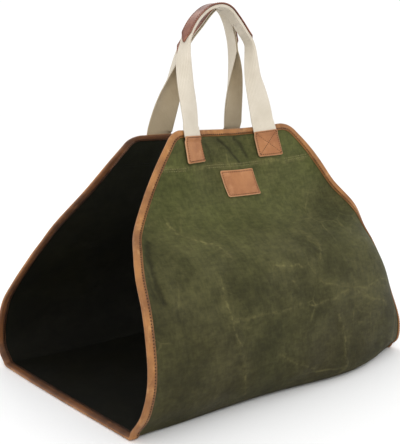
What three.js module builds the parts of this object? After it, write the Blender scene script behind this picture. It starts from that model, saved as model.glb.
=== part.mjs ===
// Sling carrier: one tapered canvas sheet that folds under a load and up to two rims, bound in
// leather all round, with two webbing handles that fold in half along their leather grips.
// Millimetres. X runs along the load, -Y is the label side, +Y is the back, Z is up.
import * as THREE from 'three';

// Canvas sheet
const SHEET_WIDTH = 480;
const RIM_WIDTH = 216;
const TAPER_LENGTH = 194;
const SHOULDER_ROUNDING = 22;
const RIM_CORNER_RADIUS = 30;
const CANVAS_THICKNESS = 2;
const PANEL_DROP = 410;
const RIM_HEIGHT = 338;
const RIM_REACH = 36;
const BELLY_REACH = 178;
const FOOT_REACH = 145;
const END_BOW = 15;
const FOLD_DEPTH = 8;

// Leather binding, tabs and label
const BINDING_DEPTH = 9;
const BINDING_THICKNESS = 1.3;
const TAB_WIDTH = 39;
const TAB_HEIGHT = 38;
const TAB_THICKNESS = 1.5;
const LABEL_WIDTH = 57;
const LABEL_HEIGHT = 36;
const LABEL_THICKNESS = 1.4;
const LABEL_DROP = 59;
const PATCH_CORNER = 2.5;
const SEAT_GAP = 0.9;

// Webbing handles and grips
const WEBBING_WIDTH = 38;
const WEBBING_THICKNESS = 1.8;
const WEBBING_BEND_RADIUS = 1.4;
const STRAP_SPACING = 137;
const TAB_OVERLAP = 1;
const TAB_COVER = 2;
const RIM_OVERRUN = 4;
const GRIP_THICKNESS = 1.6;
const GRIP_OVERHANG = 0.5;
const GRIP_TIP = 14;
const FOLD_GROWTH = 1.15;

// Handles. arch holds [across, up] places of the grip's line from its left end to its right end, as
// shares of gripSpan and rise.
const FRONT_HANDLE = {
  side: -1, footShift: -4, gripShift: -1.5, gripSpan: 56, gripReach: 22.5, gripHeight: 457, rise: 45,
  arch: [
    [-1.03, -0.1], [-0.93, 0.22], [-0.7, 0.6], [-0.35, 0.91], [0, 1], [0.24, 0.93], [0.48, 0.69],
    [0.78, 0.3], [1.03, -0.08],
  ],
};
const BACK_HANDLE = {
  side: 1, footShift: 3, gripShift: 1, gripSpan: 46, gripReach: 20.5, gripHeight: 446, rise: 58,
  arch: [
    [-1.1, -0.14], [-0.8, 0.2], [-0.42, 0.51], [-0.02, 0.84], [0.22, 0.965], [0.5, 0.95],
    [0.74, 0.72], [0.93, 0.31], [1, 0],
  ],
};

// Air between pieces that lie on each other; SEAT_GAP is the air under leather and webbing where
// they lie on the curved sheet
const CLEARANCE = 0.35;

// Mesh steps
const ACROSS_STEPS = 16;
const PANEL_STEPS = 20;
const SOLE_STEPS = 4;
const CORNER_STEPS = 3;
const LEG_STEPS = 7;
const ARCH_STEPS = 14;
const PATCH_COLUMNS = 4;
const GRIP_COLUMNS = [-1, -0.4, 0.4, 1];
const CURVE_DIVISIONS = 600;

// Finishes
const WAXED_CANVAS = { color: 0x55533a, roughness: 0.8, metalness: 0 };
const BINDING_LEATHER = { color: 0xa2683a, roughness: 0.55, metalness: 0 };
const TAB_LEATHER = { color: 0xb4713f, roughness: 0.55, metalness: 0 };
const LABEL_LEATHER = { color: 0xb57445, roughness: 0.55, metalness: 0 };
const WEBBING = { color: 0xdcd3c0, roughness: 0.9, metalness: 0 };
const GRIP_LEATHER = { color: 0x7a4a38, roughness: 0.5, metalness: 0 };

const HALF_WIDTH = SHEET_WIDTH / 2;
const HALF_LENGTH = PANEL_DROP + FOOT_REACH;
const CANVAS_SKIN = CANVAS_THICKNESS / 2;
const BINDING_INNER = CANVAS_SKIN + CLEARANCE;
const BINDING_OUTER = BINDING_INNER + BINDING_THICKNESS;

// Courses of the sheet from a rim down to the foot, where it meets the ground. down is a share of
// PANEL_DROP. left, middle and right are [out, up] across the sheet: out is a share of the reach
// that the course follows, up a share of RIM_HEIGHT. A high curl turns the right end in late.
const FRONT_COURSES = [
  { reach: RIM_REACH, down: 0, left: [1.2, 1], middle: [0.8, 0.99], right: [1.04, 1.01], curl: 2 },
  { reach: BELLY_REACH, down: 0.1, left: [0.3, 0.89], middle: [0.245, 0.885], right: [0.32, 0.91], curl: 2 },
  { reach: BELLY_REACH, down: 0.21, left: [0.372, 0.77], middle: [0.35, 0.752], right: [0.42, 0.78], curl: 2 },
  { reach: BELLY_REACH, down: 0.33, left: [0.495, 0.66], middle: [0.52, 0.645], right: [0.5, 0.662], curl: 3 },
  { reach: BELLY_REACH, down: 0.42, left: [0.65, 0.6], middle: [0.69, 0.588], right: [0.555, 0.555], curl: 4 },
  { reach: BELLY_REACH, down: 0.5, left: [0.775, 0.535], middle: [0.84, 0.53], right: [0.61, 0.46], curl: 5 },
  { reach: BELLY_REACH, down: 0.585, left: [0.905, 0.45], middle: [0.935, 0.43], right: [0.685, 0.356], curl: 6 },
  { reach: BELLY_REACH, down: 0.68, left: [0.98, 0.34], middle: [0.99, 0.322], right: [0.77, 0.256], curl: 6 },
  { reach: BELLY_REACH, down: 0.785, left: [1, 0.22], middle: [1.01, 0.206], right: [0.865, 0.144], curl: 5 },
  { reach: BELLY_REACH, down: 0.875, left: [0.95, 0.11], middle: [0.99, 0.1], right: [0.855, 0.056], curl: 4 },
  { reach: BELLY_REACH, down: 0.96, left: [0.84, 0.024], middle: [0.89, 0.022], right: [0.79, 0.016], curl: 4 },
  { reach: FOOT_REACH, down: 1, left: [1, 0], middle: [1, 0], right: [0.95, 0], curl: 4 },
];
const BACK_COURSES = [
  { reach: RIM_REACH, down: 0, left: [1.24, 0.966], middle: [0.85, 0.97], right: [1.14, 0.978], curl: 2 },
  { reach: BELLY_REACH, down: 0.1, left: [0.28, 0.88], middle: [0.26, 0.88], right: [0.31, 0.89], curl: 2 },
  { reach: BELLY_REACH, down: 0.21, left: [0.41, 0.75], middle: [0.37, 0.75], right: [0.42, 0.765], curl: 2 },
  { reach: BELLY_REACH, down: 0.33, left: [0.54, 0.63], middle: [0.52, 0.64], right: [0.51, 0.645], curl: 3 },
  { reach: BELLY_REACH, down: 0.42, left: [0.62, 0.54], middle: [0.65, 0.565], right: [0.55, 0.55], curl: 4 },
  { reach: BELLY_REACH, down: 0.5, left: [0.68, 0.46], middle: [0.775, 0.49], right: [0.61, 0.46], curl: 4 },
  { reach: BELLY_REACH, down: 0.585, left: [0.78, 0.37], middle: [0.9, 0.4], right: [0.69, 0.36], curl: 4 },
  { reach: BELLY_REACH, down: 0.68, left: [0.9, 0.28], middle: [0.985, 0.295], right: [0.78, 0.262], curl: 4 },
  { reach: BELLY_REACH, down: 0.785, left: [0.99, 0.165], middle: [1.01, 0.18], right: [0.83, 0.15], curl: 4 },
  { reach: BELLY_REACH, down: 0.875, left: [0.99, 0.07], middle: [0.98, 0.08], right: [0.82, 0.05], curl: 4 },
  { reach: BELLY_REACH, down: 0.96, left: [0.9, 0.012], middle: [0.87, 0.015], right: [0.79, 0.006], curl: 3 },
  { reach: FOOT_REACH, down: 1, left: [1.06, 0], middle: [1.03, 0], right: [1, 0], curl: 2 },
];

// Folds and dents. across is a share of HALF_WIDTH and down of PANEL_DROP, lean turns the fold's
// line from upright in degrees, long and wide are shares of SHEET_WIDTH and depth of FOLD_DEPTH,
// where a positive depth pushes the cloth in.
const FOLDS = [
  { side: -1, across: -0.16, down: 0.07, lean: 0, long: 0.12, wide: 0.06, depth: 0.9 },
  { side: -1, across: -0.42, down: 0.07, lean: 0, long: 0.12, wide: 0.06, depth: -0.8 },
  { side: -1, across: 0.05, down: 0.08, lean: -28, long: 0.08, wide: 0.03, depth: 0.35 },
  { side: -1, across: 0.16, down: 0.08, lean: -12, long: 0.09, wide: 0.035, depth: 0.35 },
  { side: -1, across: 0.38, down: 0.08, lean: 0, long: 0.1, wide: 0.05, depth: -0.35 },
  { side: -1, across: 0.62, down: 0.3, lean: 40, long: 0.12, wide: 0.05, depth: 0.6 },
  { side: -1, across: 0.82, down: 0.36, lean: 30, long: 0.14, wide: 0.05, depth: -0.5 },
  { side: -1, across: -0.72, down: 0.52, lean: 12, long: 0.12, wide: 0.04, depth: 0.6 },
  { side: -1, across: -0.5, down: 0.56, lean: 24, long: 0.1, wide: 0.045, depth: 0.45 },
  { side: -1, across: 0.42, down: 0.98, lean: 90, long: 0.22, wide: 0.1, depth: -2.6 },
  { side: 1, across: -0.3, down: 0.1, lean: 14, long: 0.09, wide: 0.04, depth: 0.4 },
  { side: 1, across: 0.3, down: 0.34, lean: -36, long: 0.14, wide: 0.05, depth: 0.6 },
  { side: 1, across: 0.55, down: 0.56, lean: 62, long: 0.14, wide: 0.05, depth: 0.5 },
  { side: 1, across: -0.5, down: 0.62, lean: -20, long: 0.12, wide: 0.045, depth: 0.5 },
];

// The sheet's shape

function smoothStep(value, from, to) {
  const share = THREE.MathUtils.clamp((value - from) / (to - from), 0, 1);
  return share * share * (3 - 2 * share);
}

// Half width of the sheet at a distance down from a rim, with its shoulder rounded off
function halfWidthAt(drop) {
  const slope = (SHEET_WIDTH - RIM_WIDTH) / 2 / TAPER_LENGTH;
  const spare = HALF_WIDTH - RIM_WIDTH / 2 - slope * drop;
  return HALF_WIDTH - SHOULDER_ROUNDING * Math.log1p(Math.exp(spare / SHOULDER_ROUNDING));
}

// One course at a share across the sheet, from -1 at the left edge to 1 at the right edge
function coursePoint(course, side, share) {
  const edge = share < 0 ? course.left : course.right;
  const weight = Math.abs(share) ** (share < 0 ? 2 : course.curl);
  const out = THREE.MathUtils.lerp(course.middle[0], edge[0], weight) * course.reach;
  const up = THREE.MathUtils.lerp(course.middle[1], edge[1], weight) * RIM_HEIGHT;
  return { along: side * (HALF_LENGTH - course.down * PANEL_DROP), y: side * out, z: up };
}

// Cross-section of the sling at one share across the sheet: a smooth curve through its courses
function makeSection(share) {
  const sole = FOOT_REACH * 0.8;
  const knots = FRONT_COURSES.map((course) => coursePoint(course, -1, share));
  knots.push({ along: -sole, y: -sole, z: 0 }, { along: sole, y: sole, z: 0 });
  const back = BACK_COURSES.map((course) => coursePoint(course, 1, share));
  knots.push(...back.reverse());
  const slopes = knots.map((knot, index) => {
    const before = knots[Math.max(index - 1, 0)];
    const after = knots[Math.min(index + 1, knots.length - 1)];
    const span = after.along - before.along;
    return { y: (after.y - before.y) / span, z: (after.z - before.z) / span };
  });
  return { knots, slopes };
}

const sectionCache = new Map();

function sectionAt(share) {
  const key = share.toFixed(6);
  if (!sectionCache.has(key)) sectionCache.set(key, makeSection(share));
  return sectionCache.get(key);
}

function hermite(from, to, slopeFrom, slopeTo, span, share) {
  const square = share * share;
  const cube = square * share;
  const start = (2 * cube - 3 * square + 1) * from + (cube - 2 * square + share) * span * slopeFrom;
  return start + (3 * square - 2 * cube) * to + (cube - square) * span * slopeTo;
}

// Height and depth of a section at a distance along the sheet from the keel; past a rim it runs
// straight on
function sectionPoint({ knots, slopes }, along) {
  const last = knots.length - 1;
  const outside = along < knots[0].along ? 0 : last;
  if (along < knots[0].along || along > knots[last].along) {
    const past = along - knots[outside].along;
    const y = knots[outside].y + slopes[outside].y * past;
    return { y, z: knots[outside].z + slopes[outside].z * past };
  }
  let index = 0;
  while (index < last - 1 && along > knots[index + 1].along) index += 1;
  const from = knots[index];
  const to = knots[index + 1];
  const span = to.along - from.along;
  const share = (along - from.along) / span;
  return {
    y: hermite(from.y, to.y, slopes[index].y, slopes[index + 1].y, span, share),
    z: hermite(from.z, to.z, slopes[index].z, slopes[index + 1].z, span, share),
  };
}

function foldDepthAt(across, along) {
  const drop = HALF_LENGTH - Math.abs(along);
  let depth = 0;
  for (const fold of FOLDS) {
    if (fold.side * along < 0) continue;
    const lean = THREE.MathUtils.degToRad(fold.lean);
    const right = across - fold.across * HALF_WIDTH;
    const down = drop - fold.down * PANEL_DROP;
    const lengthwise = (down * Math.cos(lean) - right * Math.sin(lean)) / (fold.long * SHEET_WIDTH);
    const sideways = (right * Math.cos(lean) + down * Math.sin(lean)) / (fold.wide * SHEET_WIDTH);
    depth += fold.depth * FOLD_DEPTH * Math.exp(-(lengthwise ** 2) - sideways ** 2);
  }
  return depth;
}

// How far the left end stands out under the load, from the front foot round to the back belly
function bowAt(along) {
  const rising = smoothStep(along, -PANEL_DROP, FOOT_REACH);
  const fading = smoothStep(along, FOOT_REACH + PANEL_DROP * 0.3, FOOT_REACH + PANEL_DROP * 0.6);
  return END_BOW * rising * (1 - fading);
}

// Middle of the cloth at a flat place: across from the sheet's centre line, along from its keel
function sheetMiddle(across, along) {
  const share = across / halfWidthAt(HALF_LENGTH - Math.abs(along));
  const { y, z } = sectionPoint(sectionAt(share), along);
  const bow = share < 0 ? bowAt(along) * share * share : 0;
  const nearEnd = smoothStep(Math.abs(share), 0.72, 0.93);
  const nearGround = 1 - smoothStep(z, 0, RIM_HEIGHT * 0.1);
  const lift = (BINDING_OUTER - CANVAS_SKIN) * nearEnd * nearGround;
  const fold = Math.sign(along) * foldDepthAt(across, along);
  return new THREE.Vector3(across - bow, y - fold, Math.max(z, 0) + CANVAS_SKIN + lift);
}

// A place at a height over the middle of the cloth, outwards from the load
function sheetPlace(across, along, height) {
  const reach = 1.5;
  const acrossWay = sheetMiddle(across + reach, along).sub(sheetMiddle(across - reach, along));
  const alongWay = sheetMiddle(across, along + reach).sub(sheetMiddle(across, along - reach));
  const outward = alongWay.cross(acrossWay).normalize();
  return sheetMiddle(across, along).addScaledVector(outward, height);
}

function alongAt(side, drop) {
  return side * (HALF_LENGTH - drop);
}

// Closed bodies

function makeMesh(name, vertices, faces, finish) {
  let volume = 0;
  for (const [a, b, c] of faces) {
    volume += vertices[a].dot(vertices[b].clone().cross(vertices[c]));
  }
  const ordered = volume < 0 ? faces.map(([a, b, c]) => [a, c, b]) : faces;
  const geometry = new THREE.BufferGeometry();
  geometry.setAttribute('position', new THREE.Float32BufferAttribute(vertices.flatMap((v) => v.toArray()), 3));
  geometry.setIndex(ordered.flat());
  geometry.computeVertexNormals();
  const mesh = new THREE.Mesh(geometry, new THREE.MeshStandardMaterial(finish));
  mesh.name = name;
  return mesh;
}

// Faces of a grid of rows, all with the same number of places, that starts at index first
function gridFaces(rows, columns, first = 0) {
  const faces = [];
  for (let row = 0; row < rows - 1; row += 1) {
    for (let column = 0; column < columns - 1; column += 1) {
      const corner = first + row * columns + column;
      faces.push([corner, corner + 1, corner + columns + 1]);
      faces.push([corner, corner + columns + 1, corner + columns]);
    }
  }
  return faces;
}

// A wall of cloth or leather between two like sheets of vertices, closed along their free edges
function wallMesh(name, upper, lower, faces, finish) {
  const count = upper.length;
  const body = faces.map((face) => [...face]);
  const open = new Map();
  for (const [a, b, c] of faces) {
    body.push([count + a, count + c, count + b]);
    for (const [from, to] of [[a, b], [b, c], [c, a]]) {
      if (!open.delete(`${to} ${from}`)) open.set(`${from} ${to}`, [from, to]);
    }
  }
  for (const [from, to] of open.values()) {
    body.push([to, from, count + from], [to, count + from, count + to]);
  }
  return makeMesh(name, [...upper, ...lower], body, finish);
}

// The sheet's outline

// Stations of the outline's right side, from the front rim to the back rim, with the direction out
// of the sheet at each
function sideStations() {
  const slope = (SHEET_WIDTH - RIM_WIDTH) / 2 / TAPER_LENGTH;
  const slant = Math.hypot(1, slope);
  const centre = RIM_WIDTH / 2 + slope * RIM_CORNER_RADIUS - slant * RIM_CORNER_RADIUS;
  const half = [];
  for (let step = 0; step <= CORNER_STEPS; step += 1) {
    const angle = THREE.MathUtils.lerp(Math.PI / 2, Math.atan(slope), step / CORNER_STEPS);
    const drop = RIM_CORNER_RADIUS * (1 - Math.sin(angle));
    const across = centre + RIM_CORNER_RADIUS * Math.cos(angle);
    half.push({ drop, across, outAcross: Math.cos(angle), outUp: Math.sin(angle) });
  }
  const start = half[CORNER_STEPS].drop;
  const drops = [];
  for (let step = 1; step <= PANEL_STEPS; step += 1) {
    drops.push(THREE.MathUtils.lerp(start, PANEL_DROP, step / PANEL_STEPS));
  }
  for (let step = 1; step <= SOLE_STEPS; step += 1) {
    drops.push(THREE.MathUtils.lerp(PANEL_DROP, HALF_LENGTH, step / SOLE_STEPS));
  }
  for (const drop of drops) {
    const widening = (halfWidthAt(drop + 1) - halfWidthAt(drop - 1)) / 2;
    const length = Math.hypot(1, widening);
    half.push({ drop, across: halfWidthAt(drop), outAcross: 1 / length, outUp: widening / length });
  }
  const place = (side) => ({ drop, across, outAcross, outUp }) => (
    { across, along: alongAt(side, drop), outAcross, outAlong: side * outUp });
  return [...half.map(place(-1)), ...half.slice(0, -1).reverse().map(place(1))];
}

const SIDE = sideStations();

// The binding's run round the sheet: up the right side, along the back rim, down the left side and
// along the front rim. Each stop has its place on the outline and its place one binding depth in.
function edgeStops() {
  const stop = (across, along, outAcross, outAlong, vertex) => {
    return { across, along, outAcross, outAlong, vertex };
  };
  const columns = ACROSS_STEPS + 1;
  const lastRow = (SIDE.length - 1) * columns;
  const right = SIDE.map((s, row) => {
    return stop(s.across, s.along, s.outAcross, s.outAlong, row * columns + ACROSS_STEPS);
  });
  const left = SIDE.map((s, row) => stop(-s.across, s.along, -s.outAcross, s.outAlong, row * columns));
  const backRim = [];
  const frontRim = [];
  for (let column = 1; column < ACROSS_STEPS; column += 1) {
    const across = SIDE[0].across * (2 * column / ACROSS_STEPS - 1);
    frontRim.push(stop(across, -HALF_LENGTH, 0, -1, column));
    backRim.push(stop(across, HALF_LENGTH, 0, 1, lastRow + column));
  }
  return [...right, ...backRim.reverse(), ...left.reverse(), ...frontRim];
}

const EDGE = edgeStops();

// Canvas sheet and binding

function makeCanvas() {
  const places = [];
  for (const { across, along, outAcross, outAlong } of SIDE) {
    const half = across - outAcross * BINDING_DEPTH;
    for (let column = 0; column <= ACROSS_STEPS; column += 1) {
      places.push([half * (2 * column / ACROSS_STEPS - 1), along - outAlong * BINDING_DEPTH]);
    }
  }
  const faces = gridFaces(SIDE.length, ACROSS_STEPS + 1);
  const first = places.length;
  EDGE.forEach((stop, index) => {
    places.push([stop.across, stop.along]);
    const next = (index + 1) % EDGE.length;
    faces.push([stop.vertex, first + index, first + next], [stop.vertex, first + next, EDGE[next].vertex]);
  });
  const upper = places.map(([across, along]) => sheetPlace(across, along, CANVAS_SKIN));
  const lower = places.map(([across, along]) => sheetPlace(across, along, -CANVAS_SKIN));
  return wallMesh('canvas_sheet', upper, lower, faces, WAXED_CANVAS);
}

function makeBinding() {
  const nose = CLEARANCE + BINDING_THICKNESS;
  const section = [
    [-BINDING_DEPTH, BINDING_OUTER],
    [nose, BINDING_OUTER],
    [nose, -BINDING_OUTER],
    [-BINDING_DEPTH, -BINDING_OUTER],
    [-BINDING_DEPTH, -BINDING_INNER],
    [CLEARANCE, -BINDING_INNER],
    [CLEARANCE, BINDING_INNER],
    [-BINDING_DEPTH, BINDING_INNER],
  ];
  const vertices = [];
  const faces = [];
  EDGE.forEach((stop, index) => {
    const base = index * section.length;
    const nextBase = ((index + 1) % EDGE.length) * section.length;
    section.forEach(([out, height], corner) => {
      const after = (corner + 1) % section.length;
      vertices.push(sheetPlace(stop.across + out * stop.outAcross, stop.along + out * stop.outAlong, height));
      if (section[after][0] < out) {
        faces.push([base + corner, base + after, nextBase + corner]);
        faces.push([base + after, nextBase + after, nextBase + corner]);
      } else {
        faces.push([base + corner, base + after, nextBase + after]);
        faces.push([base + corner, nextBase + after, nextBase + corner]);
      }
    });
  });
  return makeMesh('edge_binding', vertices, faces, BINDING_LEATHER);
}

// A leather patch on the sheet: rows with rounded corners, between two heights over the cloth
function makePatch(name, side, centre, width, drops, lowAt, thickness, finish) {
  const columns = PATCH_COLUMNS + 1;
  const top = drops[0];
  const bottom = drops[drops.length - 1];
  const upper = [];
  const lower = [];
  for (const drop of drops) {
    const toEnd = Math.min(drop - top, bottom - drop, PATCH_CORNER);
    const inset = PATCH_CORNER - Math.sqrt(PATCH_CORNER ** 2 - (PATCH_CORNER - toEnd) ** 2);
    for (let column = 0; column < columns; column += 1) {
      const across = centre + (width / 2 - inset) * (2 * column / PATCH_COLUMNS - 1);
      lower.push(sheetPlace(across, alongAt(side, drop), lowAt(drop)));
      upper.push(sheetPlace(across, alongAt(side, drop), lowAt(drop) + thickness));
    }
  }
  return wallMesh(name, upper, lower, gridFaces(drops.length, columns), finish);
}

// Drops of a patch from its top to its bottom, with extra rows round its corners
function patchDrops(top, height, middles) {
  const near = PATCH_CORNER * 0.3;
  const bottom = top + height;
  return [top, top + near, top + PATCH_CORNER, ...middles, bottom - PATCH_CORNER, bottom - near, bottom];
}

function makeLabel() {
  const middles = [0.2, 0.4, 0.6, 0.8].map((share) => LABEL_DROP + share * LABEL_HEIGHT);
  const drops = patchDrops(LABEL_DROP, LABEL_HEIGHT, middles);
  const low = () => CANVAS_SKIN + SEAT_GAP;
  return makePatch('label_patch', -1, 0, LABEL_WIDTH, drops, low, LABEL_THICKNESS, LABEL_LEATHER);
}

// Handles

const TAB_TOP = BINDING_DEPTH - TAB_OVERLAP;
const STEP_DOWN = [0.04, 0.1, 0.16].map((share) => TAB_TOP + PATCH_CORNER + share * TAB_HEIGHT);
const STEP_REST = [0.4, 0.65].map((share) => TAB_TOP + PATCH_CORNER + share * TAB_HEIGHT);

// Height of the webbing's inner face where it lies on the sheet: over the binding, then down
function webbingSeat(drop) {
  const down = smoothStep(drop, STEP_DOWN[0], STEP_DOWN[2]);
  return THREE.MathUtils.lerp(BINDING_OUTER, CANVAS_SKIN, down) + SEAT_GAP;
}

function makeTab(name, handle, way) {
  const low = (drop) => webbingSeat(drop) + WEBBING_THICKNESS + CLEARANCE;
  const drops = patchDrops(TAB_TOP, TAB_HEIGHT, [...STEP_DOWN, ...STEP_REST]);
  const centre = footPlace(handle, way);
  return makePatch(name, handle.side, centre, TAB_WIDTH, drops, low, TAB_THICKNESS, TAB_LEATHER);
}

// Half widths of webbing columns: two in the crease, then out to the selvedge
const CREASE = WEBBING_BEND_RADIUS * Math.PI / 2;
const WEB_COLUMNS = [0, CREASE / 2, CREASE, WEBBING_WIDTH / 4, WEBBING_WIDTH / 2];

// Section of the webbing for a fold share from 0, flat, to 1, folded in half: for each column its
// place beside the crease line and below it, and the turn of the cloth there
function webSection(fold) {
  const turn = Math.max(fold * Math.PI / 2, 1e-4);
  const curl = THREE.MathUtils.lerp(WEBBING_WIDTH / 2, CREASE, fold);
  return WEB_COLUMNS.map((width) => {
    const bent = Math.min(width, curl);
    const angle = turn * bent / curl;
    const straight = width - bent;
    return {
      beside: curl / turn * Math.sin(angle) + straight * Math.cos(turn),
      below: curl / turn * (1 - Math.cos(angle)) + straight * Math.sin(turn),
      angle,
    };
  });
}

// A row of webbing round a frame: centre on the crease line, aside across the webbing and outward
// away from the bag's middle. offset is the height over the webbing's middle.
function webRow(frame, fold, offset) {
  const columns = webSection(fold);
  const point = (sign) => ({ beside, below, angle }) => {
    const sideways = sign * (beside + offset * Math.sin(angle));
    const outward = offset * Math.cos(angle) - below;
    return frame.centre.clone().addScaledVector(frame.aside, sideways).addScaledVector(frame.outward, outward);
  };
  return [...columns.slice(1).reverse().map(point(-1)), ...columns.map(point(1))];
}

// A row of webbing that lies on the sheet, with its columns counted towards way along X
function seatedRow(side, centre, way, drop, height) {
  const halves = [...WEB_COLUMNS.slice(1).reverse().map((width) => -width), ...WEB_COLUMNS];
  return halves.map((width) => sheetPlace(centre + way * width, alongAt(side, drop), height));
}

// Place across the sheet of a handle's left or right end
function footPlace(handle, way) {
  return handle.footShift + way * STRAP_SPACING / 2;
}

// Crease line of a handle from the left rim over the grip to the right rim, with a frame at each
// station, its fold and, on the arch, its distance from the grip's ends
function handleStations(handle) {
  const { side, gripShift, gripSpan, gripReach, gripHeight, rise, arch } = handle;
  const height = webbingSeat(0) + WEBBING_THICKNESS / 2;
  const exitAt = (way, over) => sheetPlace(footPlace(handle, way), alongAt(side, -BINDING_DEPTH), over);
  const exits = [-1, 1].map((way) => exitAt(way, height));
  const facings = [-1, 1].map((way, index) => exits[index].clone().sub(exitAt(way, 0)).normalize());
  const onArch = ([across, up]) => (
    new THREE.Vector3(gripShift + across * gripSpan, side * gripReach, gripHeight + up * rise));
  const grip = arch.map(onArch);
  const legs = [grip[0], grip[grip.length - 1]].map((end, index) => exits[index].clone().lerp(end, 0.5));
  const points = [exits[0], legs[0], ...grip, legs[1], exits[1]];
  const curve = new THREE.CatmullRomCurve3(points, false, 'centripetal');
  const lengths = curve.getLengths(CURVE_DIVISIONS);
  const total = lengths[CURVE_DIVISIONS];
  const spans = points.length - 1;
  const gripFrom = lengths[Math.round(2 / spans * CURVE_DIVISIONS)] / total;
  const gripTo = lengths[Math.round((spans - 2) / spans * CURVE_DIVISIONS)] / total;
  curve.arcLengthDivisions = CURVE_DIVISIONS;
  const shares = [];
  for (let step = 0; step < LEG_STEPS; step += 1) shares.push(gripFrom * step / LEG_STEPS);
  for (let step = 0; step <= ARCH_STEPS; step += 1) {
    shares.push(THREE.MathUtils.lerp(gripFrom, gripTo, step / ARCH_STEPS));
  }
  for (let step = 1; step <= LEG_STEPS; step += 1) {
    shares.push(THREE.MathUtils.lerp(gripTo, 1, step / LEG_STEPS));
  }
  return shares.map((share) => {
    const leg = Math.min(share / gripFrom, (1 - share) / (1 - gripTo), 1);
    const facing = facings[share < 0.5 ? 0 : 1].clone().lerp(new THREE.Vector3(0, side, 0), leg);
    const tangent = curve.getTangentAt(share);
    const outward = facing.addScaledVector(tangent, -facing.dot(tangent)).normalize();
    const aside = outward.clone().cross(tangent).multiplyScalar(side);
    const fold = leg ** FOLD_GROWTH;
    const inGrip = Math.min(share - gripFrom, gripTo - share) * total;
    return { centre: curve.getPointAt(share), outward, aside, fold, inGrip };
  });
}

function makeHandle(name, handle) {
  const stations = handleStations(handle);
  const seats = [-RIM_OVERRUN, 0, TAB_TOP, TAB_TOP + PATCH_CORNER, ...STEP_DOWN, ...STEP_REST];
  seats.push(TAB_TOP + TAB_HEIGHT - TAB_COVER);
  const rows = (offset) => {
    const seated = (way, centre) => seats.map((drop) => (
      seatedRow(handle.side, centre, way, drop, webbingSeat(drop) + WEBBING_THICKNESS / 2 + offset)));
    const left = seated(1, footPlace(handle, -1)).reverse();
    const right = seated(-1, footPlace(handle, 1));
    return [...left, ...stations.map((frame) => webRow(frame, frame.fold, offset)), ...right];
  };
  const upper = rows(WEBBING_THICKNESS / 2);
  const lower = rows(-WEBBING_THICKNESS / 2);
  return wallMesh(name, upper.flat(), lower.flat(), gridFaces(upper.length, upper[0].length), WEBBING);
}

// Leather strip on the outer face of the folded webbing, pointed at both ends
function makeGrip(name, handle) {
  const stations = handleStations(handle).filter(({ inGrip }) => inGrip > -1e-6);
  const depth = WEBBING_BEND_RADIUS + WEBBING_WIDTH / 2 - CREASE;
  const near = WEBBING_THICKNESS / 2 + GRIP_OVERHANG;
  const far = -depth - GRIP_OVERHANG;
  const sheetAt = (distance) => stations.flatMap(({ centre, outward, aside, inGrip }) => {
    const width = Math.min(0.15 + inGrip / GRIP_TIP, 1);
    const middle = (near + far) / 2;
    return GRIP_COLUMNS.map((share) => (
      centre.clone()
        .addScaledVector(aside, -distance)
        .addScaledVector(outward, middle + share * width * (near - far) / 2)));
  });
  const inner = WEBBING_BEND_RADIUS + WEBBING_THICKNESS / 2 + CLEARANCE;
  const faces = gridFaces(stations.length, GRIP_COLUMNS.length);
  return wallMesh(name, sheetAt(inner + GRIP_THICKNESS), sheetAt(inner), faces, GRIP_LEATHER);
}

const carrier = new THREE.Group();
carrier.add(makeCanvas(), makeBinding(), makeLabel());
for (const [word, handle] of [['front', FRONT_HANDLE], ['back', BACK_HANDLE]]) {
  carrier.add(makeHandle(`${word}_handle`, handle), makeGrip(`${word}_grip`, handle));
  carrier.add(makeTab(`${word}_left_tab`, handle, -1), makeTab(`${word}_right_tab`, handle, 1));
}

// The origin is under the middle of the whole carrier, on the ground
const box = new THREE.Box3().setFromObject(carrier);
const middle = box.getCenter(new THREE.Vector3());
carrier.position.set(-middle.x, -middle.y, -box.min.z);

export default carrier;
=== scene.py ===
"""Waxed canvas sling carrier, dressed over its CAD frame.

A tapered canvas sheet folds under a load and up to two rims. Leather edging binds it, two webbing
handles with leather grips are sewn on under leather tabs, and a plain leather patch sits on the
front. Sizes are in millimetres and become metres when a mesh is made.
"""

import logging
import math
from dataclasses import dataclass
from enum import Enum
from functools import lru_cache

import bpy
import numpy as np
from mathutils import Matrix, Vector


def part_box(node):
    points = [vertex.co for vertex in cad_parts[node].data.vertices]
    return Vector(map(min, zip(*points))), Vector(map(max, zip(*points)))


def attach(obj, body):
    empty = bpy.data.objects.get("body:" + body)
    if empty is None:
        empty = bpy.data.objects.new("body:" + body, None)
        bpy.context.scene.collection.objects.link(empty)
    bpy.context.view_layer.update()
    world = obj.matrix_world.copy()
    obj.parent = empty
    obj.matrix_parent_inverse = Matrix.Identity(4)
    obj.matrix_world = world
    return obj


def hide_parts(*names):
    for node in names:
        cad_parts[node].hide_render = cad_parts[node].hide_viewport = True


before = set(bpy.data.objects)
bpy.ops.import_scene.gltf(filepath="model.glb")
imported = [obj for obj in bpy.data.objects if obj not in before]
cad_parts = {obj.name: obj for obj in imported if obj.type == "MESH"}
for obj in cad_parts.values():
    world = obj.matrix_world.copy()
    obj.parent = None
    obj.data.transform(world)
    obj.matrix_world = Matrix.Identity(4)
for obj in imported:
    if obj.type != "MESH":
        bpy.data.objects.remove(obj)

Array = np.ndarray
Colour = tuple[int, int, int]
Material = bpy.types.Material
Piece = bpy.types.Object
Socket = bpy.types.NodeSocket
LOG = logging.getLogger("sling_carrier")
MM = 0.001


class Side(Enum):
    """Panel of the sheet, by the sign of its distance from the keel."""

    FRONT = -1
    BACK = 1


class End(Enum):
    """End of a handle, by the sign of its place along the rim."""

    LEFT = -1
    RIGHT = 1


class StitchPlan(Enum):
    """Way a leather patch is sewn down."""

    BORDER = "border"
    BOXED_CROSS = "boxed cross"


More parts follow.
